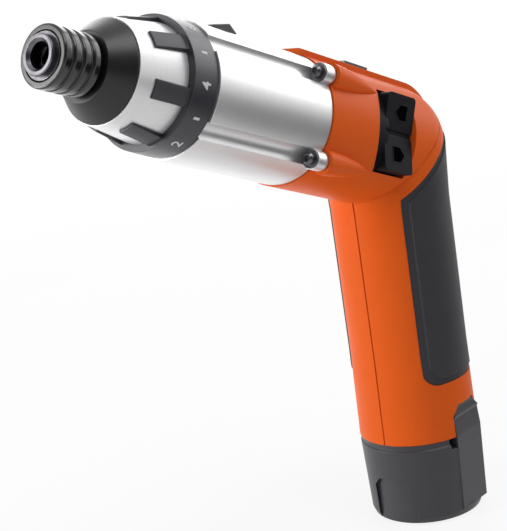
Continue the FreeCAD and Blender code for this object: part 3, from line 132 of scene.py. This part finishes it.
class Finish:
    """A material and the node tree behind it."""

    def __init__(self, name, constants):
        self.material = bpy.data.materials.new(name)
        self.material.use_nodes = True
        self.tree = self.material.node_tree
        self.shader = self.tree.nodes["Principled BSDF"]
        self.feed(self.shader, constants)

    def feed(self, node, sockets):
        """Sets or links the named sockets of a node."""
        for key, value in sockets.items():
            if isinstance(value, Value):
                self.tree.links.new(value.socket, node.inputs[key])
            else:
                node.inputs[key].default_value = value

    def node(self, kind, settings, sockets, output=0):
        """Adds a node: its type, its settings, then what its sockets hold."""
        made = self.tree.nodes.new("ShaderNode" + kind)
        for key, value in settings.items():
            setattr(made, key, value)
        self.feed(made, sockets)
        return Value(self, made.outputs[output])

    def surface(self, **sockets):
        """Feeds the shader; an underscore in a name stands for a space."""
        self.feed(self.shader, {key.replace("_", " "): value for key, value in sockets.items()})
        return self.material

    def place(self):
        """Position on the piece, in metres of the tool's own frame."""
        return self.node("TexCoord", {}, {}, "Object")

    def barrel_place(self):
        """The same position seen from the barrel's frame."""
        turn = (0, -barrel_pitch, 0)
        return self.node("Mapping", {"vector_type": "TEXTURE"},
                         {"Vector": self.place(), "Location": pivot, "Rotation": turn})

    def noise(self, size, place=None, detail=2.0):
        """Cloudy values from 0 to 1 with patches about as wide as size, in millimetres."""
        sockets = {"Vector": place or self.place(), "Scale": 1 / (size * MM), "Detail": detail}
        return self.node("TexNoise", {}, sockets, "Fac")

    def drawn_noise(self, size, draw, detail):
        """Noise drawn out into fine rings round the barrel; draw is the share left of its rate."""
        drawn = self.node("Mapping", {}, {"Vector": self.barrel_place(), "Scale": (1, draw, draw)})
        return self.noise(size, drawn, detail)

    def ramp(self, value, low, high):
        """0 at low, 1 at high, and held there beyond them."""
        return self.node("MapRange", {"clamp": True}, {"Value": value, "From Min": low, "From Max": high})

    def mix(self, factor, first, second):
        """Colour between two colours."""
        return self.node("Mix", {"data_type": "RGBA"}, {0: factor, 6: first, 7: second}, 2)

    def rounded(self, radius):
        """Normal of the surface as if its sharp edges had a small radius, in millimetres."""
        return self.node("Bevel", {"samples": BEVEL_SAMPLES}, {"Radius": radius * MM})

    def edges(self, rounded):
        """1 on sharp edges and 0 on open faces."""
        true_normal = self.node("NewGeometry", {}, {}, "Normal")
        along = self.node("VectorMath", {"operation": "DOT_PRODUCT"}, {0: rounded, 1: true_normal}, "Value")
        return self.ramp(1 - along, EDGE_START, EDGE_FULL)

    def bump(self, height, depth, normal=None):
        """Relief of a given depth in millimetres."""
        sockets = {"Height": height, "Distance": depth * MM, "Strength": 1.0}
        if normal:
            sockets["Normal"] = normal
        return self.node("Bump", {}, sockets)


print("finishes can be made")

# %% [markdown]
# ## Moulded plastic
# The shells come out of a steel mould with a fine even grain. Flat colour would look like paint on a
# computer, so three things break it up: the grain itself, slow drifts in tone and gloss from handling, and
# edges that have been rubbed smoother and a little lighter. The grain is relief, and the drifts feed colour
# and roughness.

# %% Moulded plastic
PLASTIC_EDGE_RADIUS = 0.35
HANDLING_PATCH = 16
HANDLING_TONE, GRAIN_TONE, SHADE_SHARE = 0.35, 0.15, 0.82
WEAR_START, WEAR_FULL, WEAR_SHARE = 0.25, 0.7, 0.5
HANDLING_GLOSS, EDGE_POLISH = 0.12, 0.06
NOISE_MIDDLE = 0.5


def rgb(red, green, blue):
    return (red, green, blue, 1)


def darker(colour, share):
    """A share of a colour's strength."""
    return tuple(share * part for part in colour[:3]) + (1,)


def swing(noise, reach):
    """A noise from 0 to 1 turned into a swing about zero."""
    return (noise - NOISE_MIDDLE) * reach


def moulded(name, colour, worn, roughness, grain, depth, shine=0.5):
    """Plastic with a mould grain of a given size and depth, in millimetres."""
    finish = Finish(name, {"IOR": 1.5, "Specular IOR Level": shine})
    rounded = finish.rounded(PLASTIC_EDGE_RADIUS)
    edge = finish.edges(rounded)
    handling = finish.noise(HANDLING_PATCH, detail=4.0)
    fine = finish.noise(grain)
    shade = finish.mix(handling * HANDLING_TONE + fine * GRAIN_TONE, colour, darker(colour, SHADE_SHARE))
    tone = finish.mix(edge * finish.ramp(handling, WEAR_START, WEAR_FULL) * WEAR_SHARE, shade, worn)
    gloss = roughness + swing(handling, HANDLING_GLOSS) - edge * EDGE_POLISH
    return finish.surface(Base_Color=tone, Roughness=gloss, Normal=finish.bump(fine, depth, rounded))


orange_plastic = moulded("orange_plastic", rgb(0.80, 0.120, 0.014), rgb(0.84, 0.17, 0.03),
                         roughness=0.42, grain=0.35, depth=0.010, shine=0.05)
black_plastic = moulded("black_plastic", rgb(0.005, 0.0045, 0.006), rgb(0.03, 0.029, 0.034),
                        roughness=0.38, grain=0.30, depth=0.014)
dark_plastic = moulded("dark_plastic", rgb(0.029, 0.0275, 0.034), rgb(0.10, 0.098, 0.11),
                       roughness=0.42, grain=0.40, depth=0.012)
collar_plastic = moulded("collar_plastic", rgb(0.030, 0.028, 0.036), rgb(0.12, 0.12, 0.13),
                         roughness=0.34, grain=0.22, depth=0.016)
sleeve_plastic = moulded("sleeve_plastic", rgb(0.008, 0.0075, 0.009), rgb(0.05, 0.05, 0.055),
                         roughness=0.19, grain=0.30, depth=0.006, shine=0.6)
rocker_plastic = moulded("rocker_plastic", rgb(0.010, 0.0095, 0.012), rgb(0.08, 0.08, 0.09),
                         roughness=0.55, grain=0.25, depth=0.02, shine=0.06)
# Painted shade: the arrow floors are a deeper black than the rocker, standing in for the shade inside a
# groove.
arrow_floor_painted_shade = moulded("arrow_floor_painted_shade", rgb(0.002, 0.0018, 0.0025), rgb(0.004, 0.004, 0.005),
                        roughness=0.70, grain=0.25, depth=0.01, shine=0.0)
print("moulded plastics: 7")

# %% [markdown]
# ## Grip rubber
# The pad is a soft rubber moulded over the handle. It hardly shines, it has a leathery grain that the hand
# feels, and dust and skin oil leave slow patches. Modelled pebbles would take a great many faces, so the
# cells of a smooth Voronoi pattern raise them as relief.

# %% Grip rubber
PAD_EDGE_RADIUS = 0.6
PEBBLE_SIZE, PEBBLE_SMOOTHNESS, PEBBLE_DEPTH = 0.7, 0.6, 0.035
DUST_PATCH, DUST_GLOSS = 9, 0.16
RUBBER_ROUGHNESS = 0.62


def rubber():
    finish = Finish("grip_rubber", {"IOR": 1.5, "Specular IOR Level": 0.4})
    rounded = finish.rounded(PAD_EDGE_RADIUS)
    sockets = {"Vector": finish.place(), "Scale": 1 / (PEBBLE_SIZE * MM), "Smoothness": PEBBLE_SMOOTHNESS}
    pebble = finish.node("TexVoronoi", {"feature": "SMOOTH_F1"}, sockets, "Distance")
    dust = finish.noise(DUST_PATCH, detail=5.0)
    tone = finish.mix(dust, rgb(0.017, 0.017, 0.021), rgb(0.030, 0.030, 0.035))
    gloss = RUBBER_ROUGHNESS + swing(dust, DUST_GLOSS)
    return finish.surface(Base_Color=tone, Roughness=gloss, Normal=finish.bump(pebble, PEBBLE_DEPTH, rounded))


grip_rubber = rubber()
print("grip:", grip_rubber.name)

# %% [markdown]
# ## Silver paint
# The gear case is a casting under a satin metallic lacquer. Fine flakes make it brighter and darker from
# point to point, and the lacquer keeps faint turning lines round the barrel. Plain grey metal would look
# like chrome or like card, so flakes and lines are two noises, and the lines are drawn out in the barrel's
# own frame.

# %% Silver paint
CASE_EDGE_RADIUS = 0.3
FLAKE_SIZE, FLAKE_START, FLAKE_FULL, FLAKE_TONE, FLAKE_GLOSS = 0.16, 0.3, 0.7, 0.55, 0.16
TURNING_SIZE, TURNING_DRAW, TURNING_TONE = 0.35, 0.03, 0.3
LACQUER_RELIEF = 0.004
LACQUER_PATCH, LACQUER_GLOSS = 22, 0.06
CASE_SHADE_SHARE, CASE_EDGE_TONE = 0.74, 0.4
CASE_METAL, CASE_COAT, CASE_ROUGHNESS = 0.72, 0.12, 0.38


def silver(base):
    finish = Finish("silver_paint", {"IOR": 1.5, "Coat Roughness": 0.25, "Coat IOR": 1.4})
    rounded = finish.rounded(CASE_EDGE_RADIUS)
    edge = finish.edges(rounded)
    flakes = finish.noise(FLAKE_SIZE, detail=1.0)
    drift = finish.noise(LACQUER_PATCH, detail=3.0)
    turning = finish.drawn_noise(TURNING_SIZE, TURNING_DRAW, 1.0)
    sparkle = finish.ramp(flakes, FLAKE_START, FLAKE_FULL) * FLAKE_TONE + turning * TURNING_TONE
    tone = finish.mix(sparkle, base, darker(base, CASE_SHADE_SHARE))
    tone = finish.mix(edge * CASE_EDGE_TONE, tone, rgb(0.78, 0.78, 0.79))
    gloss = CASE_ROUGHNESS + swing(flakes, FLAKE_GLOSS) + swing(drift, LACQUER_GLOSS)
    relief = finish.bump(turning, LACQUER_RELIEF, finish.bump(flakes, LACQUER_RELIEF, rounded))
    return finish.surface(Base_Color=tone, Metallic=CASE_METAL, Roughness=gloss, Coat_Weight=CASE_COAT,
                          Normal=relief)


silver_paint = silver(rgb(0.76, 0.76, 0.77))
print("case:", silver_paint.name)

# %% [markdown]
# ## Bare metals
# Shafts, screws, gears and contacts are bare or oiled metal. Each could have a recipe of its own, but they
# share one: a metal colour, scratches that run one way, and stains where oil has dried. Only colours and
# gloss differ.

# %% Bare metals
METAL_EDGE_RADIUS = 0.15
SCRATCH_SIZE, SCRATCH_DRAW, SCRATCH_DEPTH, SCRATCH_GLOSS = 0.25, 0.05, 0.003, 0.22
OIL_PATCH, OIL_START, OIL_FULL, OIL_GLOSS = 4, 0.4, 0.75, 0.14


def metal(name, base, stain, roughness):
    finish = Finish(name, {"IOR": 1.5})
    rounded = finish.rounded(METAL_EDGE_RADIUS)
    lines = finish.drawn_noise(SCRATCH_SIZE, SCRATCH_DRAW, 2.0)
    oil = finish.noise(OIL_PATCH, detail=4.0)
    tone = finish.mix(finish.ramp(oil, OIL_START, OIL_FULL), base, stain)
    gloss = roughness + swing(lines, SCRATCH_GLOSS) + swing(oil, OIL_GLOSS)
    return finish.surface(Base_Color=tone, Metallic=1.0, Roughness=gloss,
                          Normal=finish.bump(lines, SCRATCH_DEPTH, rounded))


steel = metal("steel", rgb(0.46, 0.42, 0.38), rgb(0.30, 0.26, 0.23), roughness=0.34)
dark_steel = metal("dark_steel", rgb(0.16, 0.155, 0.17), rgb(0.09, 0.085, 0.09), roughness=0.30)
bright_steel = metal("bright_steel", rgb(0.78, 0.77, 0.75), rgb(0.60, 0.59, 0.58), roughness=0.22)
black_metal = metal("black_metal", rgb(0.030, 0.029, 0.033), rgb(0.018, 0.017, 0.020), roughness=0.34)
bronze = metal("bronze", rgb(0.55, 0.36, 0.16), rgb(0.36, 0.22, 0.10), roughness=0.38)
magnet = metal("magnet", rgb(0.12, 0.12, 0.125), rgb(0.07, 0.07, 0.075), roughness=0.5)
print("metals: 6")

# %% [markdown]
# ## Lens, board and cell
# Three small finishes are left: the smoked window of the charge gauge, the green circuit board behind it
# and the film wrap of the cell. A see-through window would need a lit inside to be worth it, so the lens is
# dark and glossy. Board and cell are hidden, but whoever takes the model apart sees them, so each gets a
# simple noise.

# %% Small finishes
LENS_EDGE_RADIUS, LENS_ROUGHNESS, HAZE_PATCH, HAZE_GLOSS, HAZE_COAT = 0.2, 0.10, 3, 0.10, 0.5
BOARD_ROUGHNESS, WEAVE_SIZE, WEAVE_GLOSS, WEAVE_DEPTH = 0.35, 0.5, 0.2, 0.02
FILM_ROUGHNESS, CREASE_SIZE, CREASE_GLOSS, CREASE_DEPTH = 0.22, 5, 0.15, 0.05


def smoked_lens():
    finish = Finish("dark_lens", {"IOR": 1.49, "Specular IOR Level": 0.5})
    haze = finish.noise(HAZE_PATCH, detail=3.0)
    tone = finish.mix(haze, rgb(0.010, 0.010, 0.012), rgb(0.022, 0.020, 0.020))
    return finish.surface(Base_Color=tone, Roughness=LENS_ROUGHNESS + haze * HAZE_GLOSS,
                          Coat_Weight=haze * HAZE_COAT, Normal=finish.rounded(LENS_EDGE_RADIUS))


def circuit_board():
    finish = Finish("board", {"IOR": 1.5})
    weave = finish.noise(WEAVE_SIZE)
    tone = finish.mix(weave, rgb(0.010, 0.075, 0.030), rgb(0.020, 0.12, 0.050))
    return finish.surface(Base_Color=tone, Roughness=BOARD_ROUGHNESS + weave * WEAVE_GLOSS,
                          Normal=finish.bump(weave, WEAVE_DEPTH))


def cell_film():
    finish = Finish("cell_wrap", {"IOR": 1.5})
    crease = finish.noise(CREASE_SIZE, detail=3.0)
    tone = finish.mix(crease, rgb(0.030, 0.10, 0.26), rgb(0.050, 0.14, 0.33))
    return finish.surface(Base_Color=tone, Roughness=FILM_ROUGHNESS + crease * CREASE_GLOSS,
                          Normal=finish.bump(crease, CREASE_DEPTH))


dark_lens = smoked_lens()
board = circuit_board()
cell_wrap = cell_film()
print("small finishes:", dark_lens.name, board.name, cell_wrap.name)

# %% [markdown]
# ## Dress the CAD pieces
# The record names a material slot for each piece. Finishes could be given piece by piece, but a piece that
# takes the finish of its slot keeps the list short. A few black mouldings differ in gloss: the collar and
# the sleeve are polished by the hand, and the rocker is dull so that its arrows can be read. The ring in
# the nose is blued steel.

# %% Dress the CAD pieces
slots = {part["node"]: part["material_slot"] for part in frame["record"]["subparts"]}
finishes = {"orange_plastic": orange_plastic, "black_plastic": black_plastic, "dark_plastic": dark_plastic,
            "grip_rubber": grip_rubber, "silver_paint": silver_paint, "steel": steel,
            "dark_steel": dark_steel, "bright_steel": bright_steel, "black_metal": black_metal,
            "bronze": bronze, "magnet": magnet, "dark_lens": dark_lens, "board": board,
            "cell_wrap": cell_wrap}
special = {"torque_ring": collar_plastic, "nose_cone": black_plastic, "bit_sleeve": sleeve_plastic,
           "rocker_button": rocker_plastic, "retaining_ring": dark_steel}


def dress(piece, material):
    piece.data.materials.clear()
    piece.data.materials.append(material)


for name, piece in frame["nodes"].items():
    dress(piece, special.get(name) or finishes[slots[name]])
print("dressed", len(frame["nodes"]), "pieces")

# %% [markdown]
# ## White ink
# The settings on the torque collar are pad-printed in white, and such ink is never quite even. It could be
# a mask in the collar's material, but marks of their own keep a sharp outline from close by, so the ink is
# a finish for small solid marks.

# %% White ink
INK_PATCH, INK_ROUGHNESS, INK_GLOSS = 0.5, 0.5, 0.2


def ink():
    finish = Finish("white_ink", {"IOR": 1.5})
    patch = finish.noise(INK_PATCH, detail=3.0)
    tone = finish.mix(patch, rgb(0.78, 0.78, 0.78), rgb(0.60, 0.60, 0.61))
    return finish.surface(Base_Color=tone, Roughness=INK_ROUGHNESS + patch * INK_GLOSS)


white_ink = ink()
print("ink:", white_ink.name)

# %% [markdown]
# ## Flat marks
# Even settings are numbers and odd ones are short bars. A number comes from Blender's own font, turned into
# a mesh and scaled to the height of the print, and a bar is one rectangle. Both are drawn flat, in
# millimetres.

# %% Flat marks
FONT_SPREAD = 0.012


def add_object(name, data):
    """Object in the scene that shows some data."""
    piece = bpy.data.objects.new(name, data)
    bpy.context.scene.collection.objects.link(piece)
    return piece


def rectangle(name, width, length):
    """Mesh of one rectangle round the origin."""
    across = width / 2
    along = length / 2
    corners = [(-across, -along, 0), (across, -along, 0), (across, along, 0), (-across, along, 0)]
    mesh = bpy.data.meshes.new(name)
    mesh.from_pydata(corners, [], [(0, 1, 2, 3)])
    return mesh


def flat_text(text, height):
    """Mesh of some text, centred, with figures of a given height in millimetres."""
    curve = bpy.data.curves.new("text", "FONT")
    curve.body = text
    curve.align_x = "CENTER"
    curve.offset = FONT_SPREAD
    holder = add_object("text", curve)
    bpy.context.view_layer.update()
    mesh = bpy.data.meshes.new_from_object(holder.evaluated_get(bpy.context.evaluated_depsgraph_get()))
    bpy.data.objects.remove(holder)
    rows = [vertex.co.y for vertex in mesh.vertices]
    columns = [vertex.co.x for vertex in mesh.vertices]
    scale = height / (max(rows) - min(rows))
    middle = Vector(((max(columns) + min(columns)) / 2, (max(rows) + min(rows)) / 2, 0))
    mesh.transform(Matrix.Scale(scale, 4) @ Matrix.Translation(-middle))
    return mesh


print("flat marks can be drawn")

# %% [markdown]
# ## Ink with a thickness
# Printed ink stands a little proud of the plastic. A Solidify modifier could thicken a mark, but the mark
# must also bend round the collar, and only a mesh with cuts in it can bend. So it is cut into narrow strips
# first and then raised, with its foot sunk in the collar.

# %% Ink with a thickness
INK_THICKNESS, INK_SINK, STRIP_WIDTH, WELD_DISTANCE = 0.07, 0.10, 0.4, 1e-4


def thickened(flat):
    """Solid from a flat mesh, cut into strips across x so that it can bend."""
    form = bmesh.new()
    form.from_mesh(flat)
    bmesh.ops.remove_doubles(form, verts=form.verts, dist=WELD_DISTANCE)
    low = min(vertex.co.x for vertex in form.verts)
    high = max(vertex.co.x for vertex in form.verts)
    for step in range(1, math.ceil((high - low) / STRIP_WIDTH)):
        everything = list(form.verts) + list(form.edges) + list(form.faces)
        cut = (low + step * STRIP_WIDTH, 0, 0)
        bmesh.ops.bisect_plane(form, geom=everything, plane_co=cut, plane_no=(1, 0, 0))
    top = bmesh.ops.extrude_face_region(form, geom=list(form.faces))["geom"]
    raised = [part for part in top if isinstance(part, bmesh.types.BMVert)]
    bmesh.ops.translate(form, verts=form.verts, vec=(0, 0, -INK_SINK))
    bmesh.ops.translate(form, verts=raised, vec=(0, 0, INK_SINK + INK_THICKNESS))
    bmesh.ops.recalc_face_normals(form, faces=form.faces)
    return form


print("ink is", INK_THICKNESS, "mm thick")

# %% [markdown]
# ## Wrapping marks round the collar
# The collar is a shallow cone. Its two rims are found in the mesh as the first and last of the points that
# lie furthest out, and the radius between them follows a straight line. A Curve modifier could bend the
# marks, but turning each point by its own arc is exact and short. Text stands with its top towards the
# nose.

# %% Wrapping
COLLAR_LEAST_RADIUS = 19.7
barrel_inverse = barrel_frame.inverted()
collar_points = [(barrel_inverse @ vertex.co) / MM for vertex in frame["nodes"]["torque_ring"].data.vertices]
collar_points = [(point.x, math.hypot(point.y, point.z)) for point in collar_points]
collar_rim = sorted(point for point in collar_points if point[1] > COLLAR_LEAST_RADIUS)
collar_rear, collar_front = collar_rim[0], collar_rim[-1]
collar_middle = (collar_rear[0] + collar_front[0]) / 2


def collar_radius(station):
    share = (station - collar_rear[0]) / (collar_front[0] - collar_rear[0])
    return collar_rear[1] + share * (collar_front[1] - collar_rear[1])


def wrapped(name, form, angle):
    """Object of a flat form wrapped round the collar: x runs round it, y towards the nose."""
    for vertex in form.verts:
        along = collar_middle + vertex.co.y
        radius = collar_radius(along)
        turn = angle + vertex.co.x / radius
        height = radius + vertex.co.z
        vertex.co = Vector((along, height * math.cos(turn), height * math.sin(turn))) * MM
    mesh = bpy.data.meshes.new(name)
    form.to_mesh(mesh)
    form.free()
    mesh.transform(barrel_frame)
    return add_object(name, mesh)


print("collar from", round(collar_rear[0], 1), "to", round(collar_front[0], 1), "mm along the barrel")

# %% [markdown]
# ## Marks on the torque ring
# The settings follow each other at equal steps round the collar. One of them, the 4, lies almost straight
# to the tool's left, and the others are counted from it. Each mark rides on the torque ring, so it turns
# with it.

# %% Marks on the torque ring
NUMBER_HEIGHT = 3.5
BAR_WIDTH, BAR_LENGTH = 0.8, 2.3
SETTINGS = range(2, 13)
KNOWN_SETTING, KNOWN_ANGLE = 4, -2.0
SETTING_STEP = 27.5

for setting in SETTINGS:
    turn = math.radians(KNOWN_ANGLE + (setting - KNOWN_SETTING) * SETTING_STEP)
    odd = setting % 2
    flat = rectangle("bar", BAR_WIDTH, BAR_LENGTH) if odd else flat_text(str(setting), NUMBER_HEIGHT)
    mark = wrapped("torque_mark_%02d" % setting, thickened(flat), turn)
    dress(mark, white_ink)
    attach(mark, "torque_ring")
print("torque marks:", len(SETTINGS))

# %% [markdown]
# ## Facets of the rocker
# The rocker has two flat facets, one for each direction. Their places could be copied from the CAD source,
# but they are also the two largest flat faces that look to the left, so the mesh itself can be asked.

# %% Facets of the rocker
FACING_LEAST = 0.9
NORMAL_DIGITS = 3


def facets(node):
    """Centre and normal of the two largest flat faces of a node that look to the tool's left."""
    groups = {}
    for face in frame["nodes"][node].data.polygons:
        if face.normal.dot(left_axis) > FACING_LEAST:
            groups.setdefault(tuple(round(part, NORMAL_DIGITS) for part in face.normal), []).append(face)
    largest = sorted(groups.values(), key=lambda group: -sum(face.area for face in group))[:2]
    found = []
    for group in largest:
        area = sum(face.area for face in group)
        centre = sum((face.center * face.area for face in group), Vector()) / area
        found.append((centre, group[0].normal.copy()))
    return sorted(found, key=lambda facet: -facet[0].z)


upper_facet, lower_facet = facets("rocker_button")
print("facets at heights", round(upper_facet[0].z / MM, 1), "and", round(lower_facet[0].z / MM, 1), "mm")

# %% [markdown]
# ## Arrows on the rocker
# Each facet has a moulded arrow for its turning direction: the upper one points to the nose, the lower one
# to the rear. A groove would have to be cut into the CAD piece, so each arrow is built on the plane of its
# facet instead, inside a fine raised rim, on a floor darkened with painted shade that stands in for the
# depth of the groove.

# %% Arrows on the rocker
ARROW_LENGTH, ARROW_POINT, ARROW_WIDTH = 7.0, 2.8, 5.6
RIM_WIDTH, RIM_HEIGHT, FLOOR_HEIGHT, ROOT_DEPTH = 0.28, 0.14, 0.03, 0.3


def arrow_outline(shrink):
    """Corners of a block arrow that points along +x, drawn in by some millimetres."""
    half = ARROW_LENGTH / 2 - shrink
    side = ARROW_WIDTH / 2 - shrink
    slant = shrink * (math.sqrt(2) - 1)
    neck = ARROW_LENGTH / 2 - ARROW_POINT - slant
    return [(-half, -side), (neck, -side), (half - slant, 0), (neck, side), (-half, side)]


def arrow_mesh(name, outer, inner, top):
    """Plate from an outline, or a rim where an inner outline is given, rooted below the facet."""
    count = len(outer)
    rings = [(outer, -ROOT_DEPTH), (outer, top)]
    if inner:
        rings += [(inner, top), (inner, -ROOT_DEPTH)]
    points = [(x * MM, y * MM, height * MM) for ring, height in rings for x, y in ring]
    faces = []
    for ring in range(len(rings)) if inner else range(len(rings) - 1):
        here = ring * count
        after = (ring + 1) % len(rings) * count
        for corner in range(count):
            beside = (corner + 1) % count
            faces.append((here + corner, here + beside, after + beside, after + corner))
    if not inner:
        faces += [tuple(reversed(range(count))), tuple(range(count, count + count))]
    mesh = bpy.data.meshes.new(name)
    mesh.from_pydata(points, [], faces)
    return mesh


def rocker_arrow(name, facet, ahead):
    """Floor and rim of an arrow on a facet."""
    centre, normal = facet
    along = (barrel_axis * ahead).normalized()
    place = standing_frame(centre, along, normal.cross(along), normal)
    rim = arrow_mesh(name + "_rim", arrow_outline(0), arrow_outline(RIM_WIDTH), RIM_HEIGHT)
    floor = arrow_mesh(name + "_floor", arrow_outline(RIM_WIDTH), None, FLOOR_HEIGHT)
    # The floor's darker colour is painted shade for the groove that the arrow would have.
    for mesh, material in ((rim, rocker_plastic), (floor, arrow_floor_painted_shade)):
        mesh.transform(place)
        piece = add_object(mesh.name, mesh)
        dress(piece, material)
        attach(piece, "rocker")


rocker_arrow("arrow_ahead", upper_facet, 1)
rocker_arrow("arrow_back", lower_facet, -1)
print("rocker arrows: 2")

# %% [markdown]
# ## Camera
# The photograph looks at the tool from its left front, a little from above, with the camera rolled. A
# camera could be turned by eye until it fits, but here its place, its axes and its focal length come from
# matching the round handle, the barrel and the collar in the picture, whose long side is 531 pixels.

# %% Camera
CAMERA_FROM_PIVOT = Vector((0.4204, 0.3066, 0.0893))
CAMERA_RIGHT = Vector((-0.6304, 0.7622, -0.1472))
CAMERA_UP = Vector((-0.2727, -0.0399, 0.9613))
FOCAL_PIXELS = 1516
LONG_SIDE_PIXELS = 531
SENSOR_WIDTH = 36.0
NEAREST, FURTHEST = 0.01, 20.0

camera_right = CAMERA_RIGHT.normalized()
camera_back = camera_right.cross(CAMERA_UP).normalized()
camera_up = camera_back.cross(camera_right)
camera_data = bpy.data.cameras.new("camera")
camera_data.sensor_width = SENSOR_WIDTH
camera_data.lens = FOCAL_PIXELS / LONG_SIDE_PIXELS * SENSOR_WIDTH
camera_data.clip_start = NEAREST
camera_data.clip_end = FURTHEST
camera = add_object("camera", camera_data)
camera.matrix_world = standing_frame(pivot + CAMERA_FROM_PIVOT, camera_right, camera_up, camera_back)
bpy.context.scene.camera = camera
bpy.context.scene.view_settings.view_transform = "Standard"
print("camera lens", round(camera_data.lens, 1), "mm")

# %% [markdown]
# ## White surroundings
# The tool stands on a white sweep. Enough light to make paper white would wash out the orange, so the floor
# and the world simply look white to the camera and to reflections, while the light that they give stays
# low. Near the tool the floor is partly lit in the usual way, so that it keeps a faint shadow.

# %% White surroundings
FLOOR_SIZE = 6.0
SHADOW_REACH = 0.75
SHADOW_CORE = SHADOW_REACH / 3


def background_rays(tree):
    """1 for rays that should see the white background, straight or in a reflection."""
    paths = tree.nodes.new("ShaderNodeLightPath")
    either = paths.outputs["Is Camera Ray"]
    for kind in ("Is Glossy Ray", "Is Transmission Ray"):
        larger = tree.nodes.new("ShaderNodeMath")
        larger.operation = "MAXIMUM"
        tree.links.new(either, larger.inputs[0])
        tree.links.new(paths.outputs[kind], larger.inputs[1])
        either = larger.outputs[0]
    return either


def white_world(ambient):
    """World that looks white and lights the tool at a lower level."""
    world = bpy.data.worlds.new("white_studio")
    bpy.context.scene.world = world
    world.use_nodes = True
    tree = world.node_tree
    shade = tree.nodes.new("ShaderNodeMix")
    shade.data_type = "RGBA"
    shade.inputs[6].default_value = rgb(ambient, ambient, ambient)
    shade.inputs[7].default_value = rgb(1, 1, 1)
    tree.links.new(background_rays(tree), shade.inputs[0])
    tree.links.new(shade.outputs[2], tree.nodes["Background"].inputs["Color"])


def white_floor(lit_share):
    """Floor that is lit near the tool, where its shadow lies, and plain white further out."""
    floor = add_object("studio_floor", rectangle("studio_floor", FLOOR_SIZE, FLOOR_SIZE))
    finish = Finish("floor_paper", {"Base Color": rgb(0.86, 0.86, 0.86), "Roughness": 0.9})
    glow = finish.node("Emission", {}, {"Color": rgb(1, 1, 1), "Strength": 1.0})
    away = finish.node("VectorMath", {"operation": "LENGTH"}, {0: finish.place()}, "Value")
    lit = lit_share * finish.ramp(away, SHADOW_REACH, SHADOW_CORE)
    seen = Value(finish, background_rays(finish.tree)) * (1 - lit)
    blend = finish.node("MixShader", {}, {0: seen, 1: Value(finish, finish.shader.outputs[0]), 2: glow})
    finish.feed(finish.tree.nodes["Material Output"], {"Surface": blend})
    dress(floor, finish.material)


white_world(ambient=0.19)
white_floor(lit_share=0.15)
print("white floor at z = 0")

# %% [markdown]
# ## Cards for the reflections
# Shiny paint shows what stands round it. In an all-white room the silver case would lose its shape, so a
# photographer sets up cards, and so does this studio: dark ones beside the tool, bright ones behind it and
# on the floor beyond it. Only reflections can see them, so they cast no shadow and leave dull colours alone.

# %% Cards
UPWARDS = (0, 0, 1)


def card(name, centre, facing, width, height, level):
    """Card that only reflections can see."""
    sheet = add_object(name, rectangle(name, width, height))
    sheet.location = centre
    sheet.rotation_euler = Vector(facing).to_track_quat("Z", "Y").to_euler()
    finish = Finish(name, {"Base Color": rgb(0, 0, 0), "Roughness": 1.0, "Specular IOR Level": 0.0,
                           "Emission Color": rgb(level, level, level), "Emission Strength": 1.0})
    dress(sheet, finish.material)
    sheet.visible_camera = False
    sheet.visible_diffuse = False
    sheet.visible_transmission = False
    sheet.visible_shadow = False


card("floor_flag", centre=(-0.32, 0.39, 0.004), facing=UPWARDS, width=0.62, height=0.56, level=0.04)
card("floor_card", centre=(-0.13, -0.25, 0.004), facing=UPWARDS, width=0.42, height=0.36, level=1.4)
card("nose_flag", centre=(0.42, 0.56, 0.50), facing=(-0.4, -0.8, -0.45), width=0.8, height=0.7, level=0.05)
card("rear_card", centre=(-0.60, 0.24, 0.46), facing=(0.68, -0.24, -0.30), width=0.5, height=0.5, level=2.9)
print("cards: 4")

# %% [markdown]
# ## Lamps
# Soft lamps light the tool at the level at which colours look as they were written: one above, a broad one
# on the nose side, a low one under the barrel and two behind, of which the further one draws a bright line
# along the top. One strong lamp would do for the form, but its hard shadow would not look like the
# photograph.

# %% Lamps
tool_middle = (cad_box[0] + cad_box[1]) / 2


def soft_lamp(name, place, aim, size, power):
    """Round lamp that faces a point; size in metres, power in watts."""
    data = bpy.data.lights.new(name, "AREA")
    data.shape = "DISK"
    data.size = size
    data.energy = power
    lamp = add_object(name, data)
    lamp.location = place
    lamp.rotation_euler = (Vector(aim) - Vector(place)).to_track_quat("-Z", "Y").to_euler()


soft_lamp("top_lamp", place=(0.05, 0.42, 0.90), aim=tool_middle, size=0.6, power=3.2)
soft_lamp("nose_lamp", place=(0.75, -0.50, 0.40), aim=tool_middle, size=0.5, power=3.4)
soft_lamp("low_lamp", place=(0.45, -0.35, 0.03), aim=(0.05, 0.0, 0.14), size=0.35, power=1.8)
soft_lamp("rear_lamp", place=(-0.62, 0.22, 0.42), aim=(0.08, 0.0, 0.16), size=0.7, power=1.3)
soft_lamp("rim_lamp", place=(-0.75, -0.65, 0.55), aim=(0.05, 0.0, 0.16), size=0.9, power=5.0)
print("lamps: 5")

# %% [markdown]
# ## Size of the CAD model
# The box round the CAD pieces, as they were loaded, is printed.

# %% CAD box
print("cad box", [tuple(round(part, 4) for part in corner) for corner in cad_box])
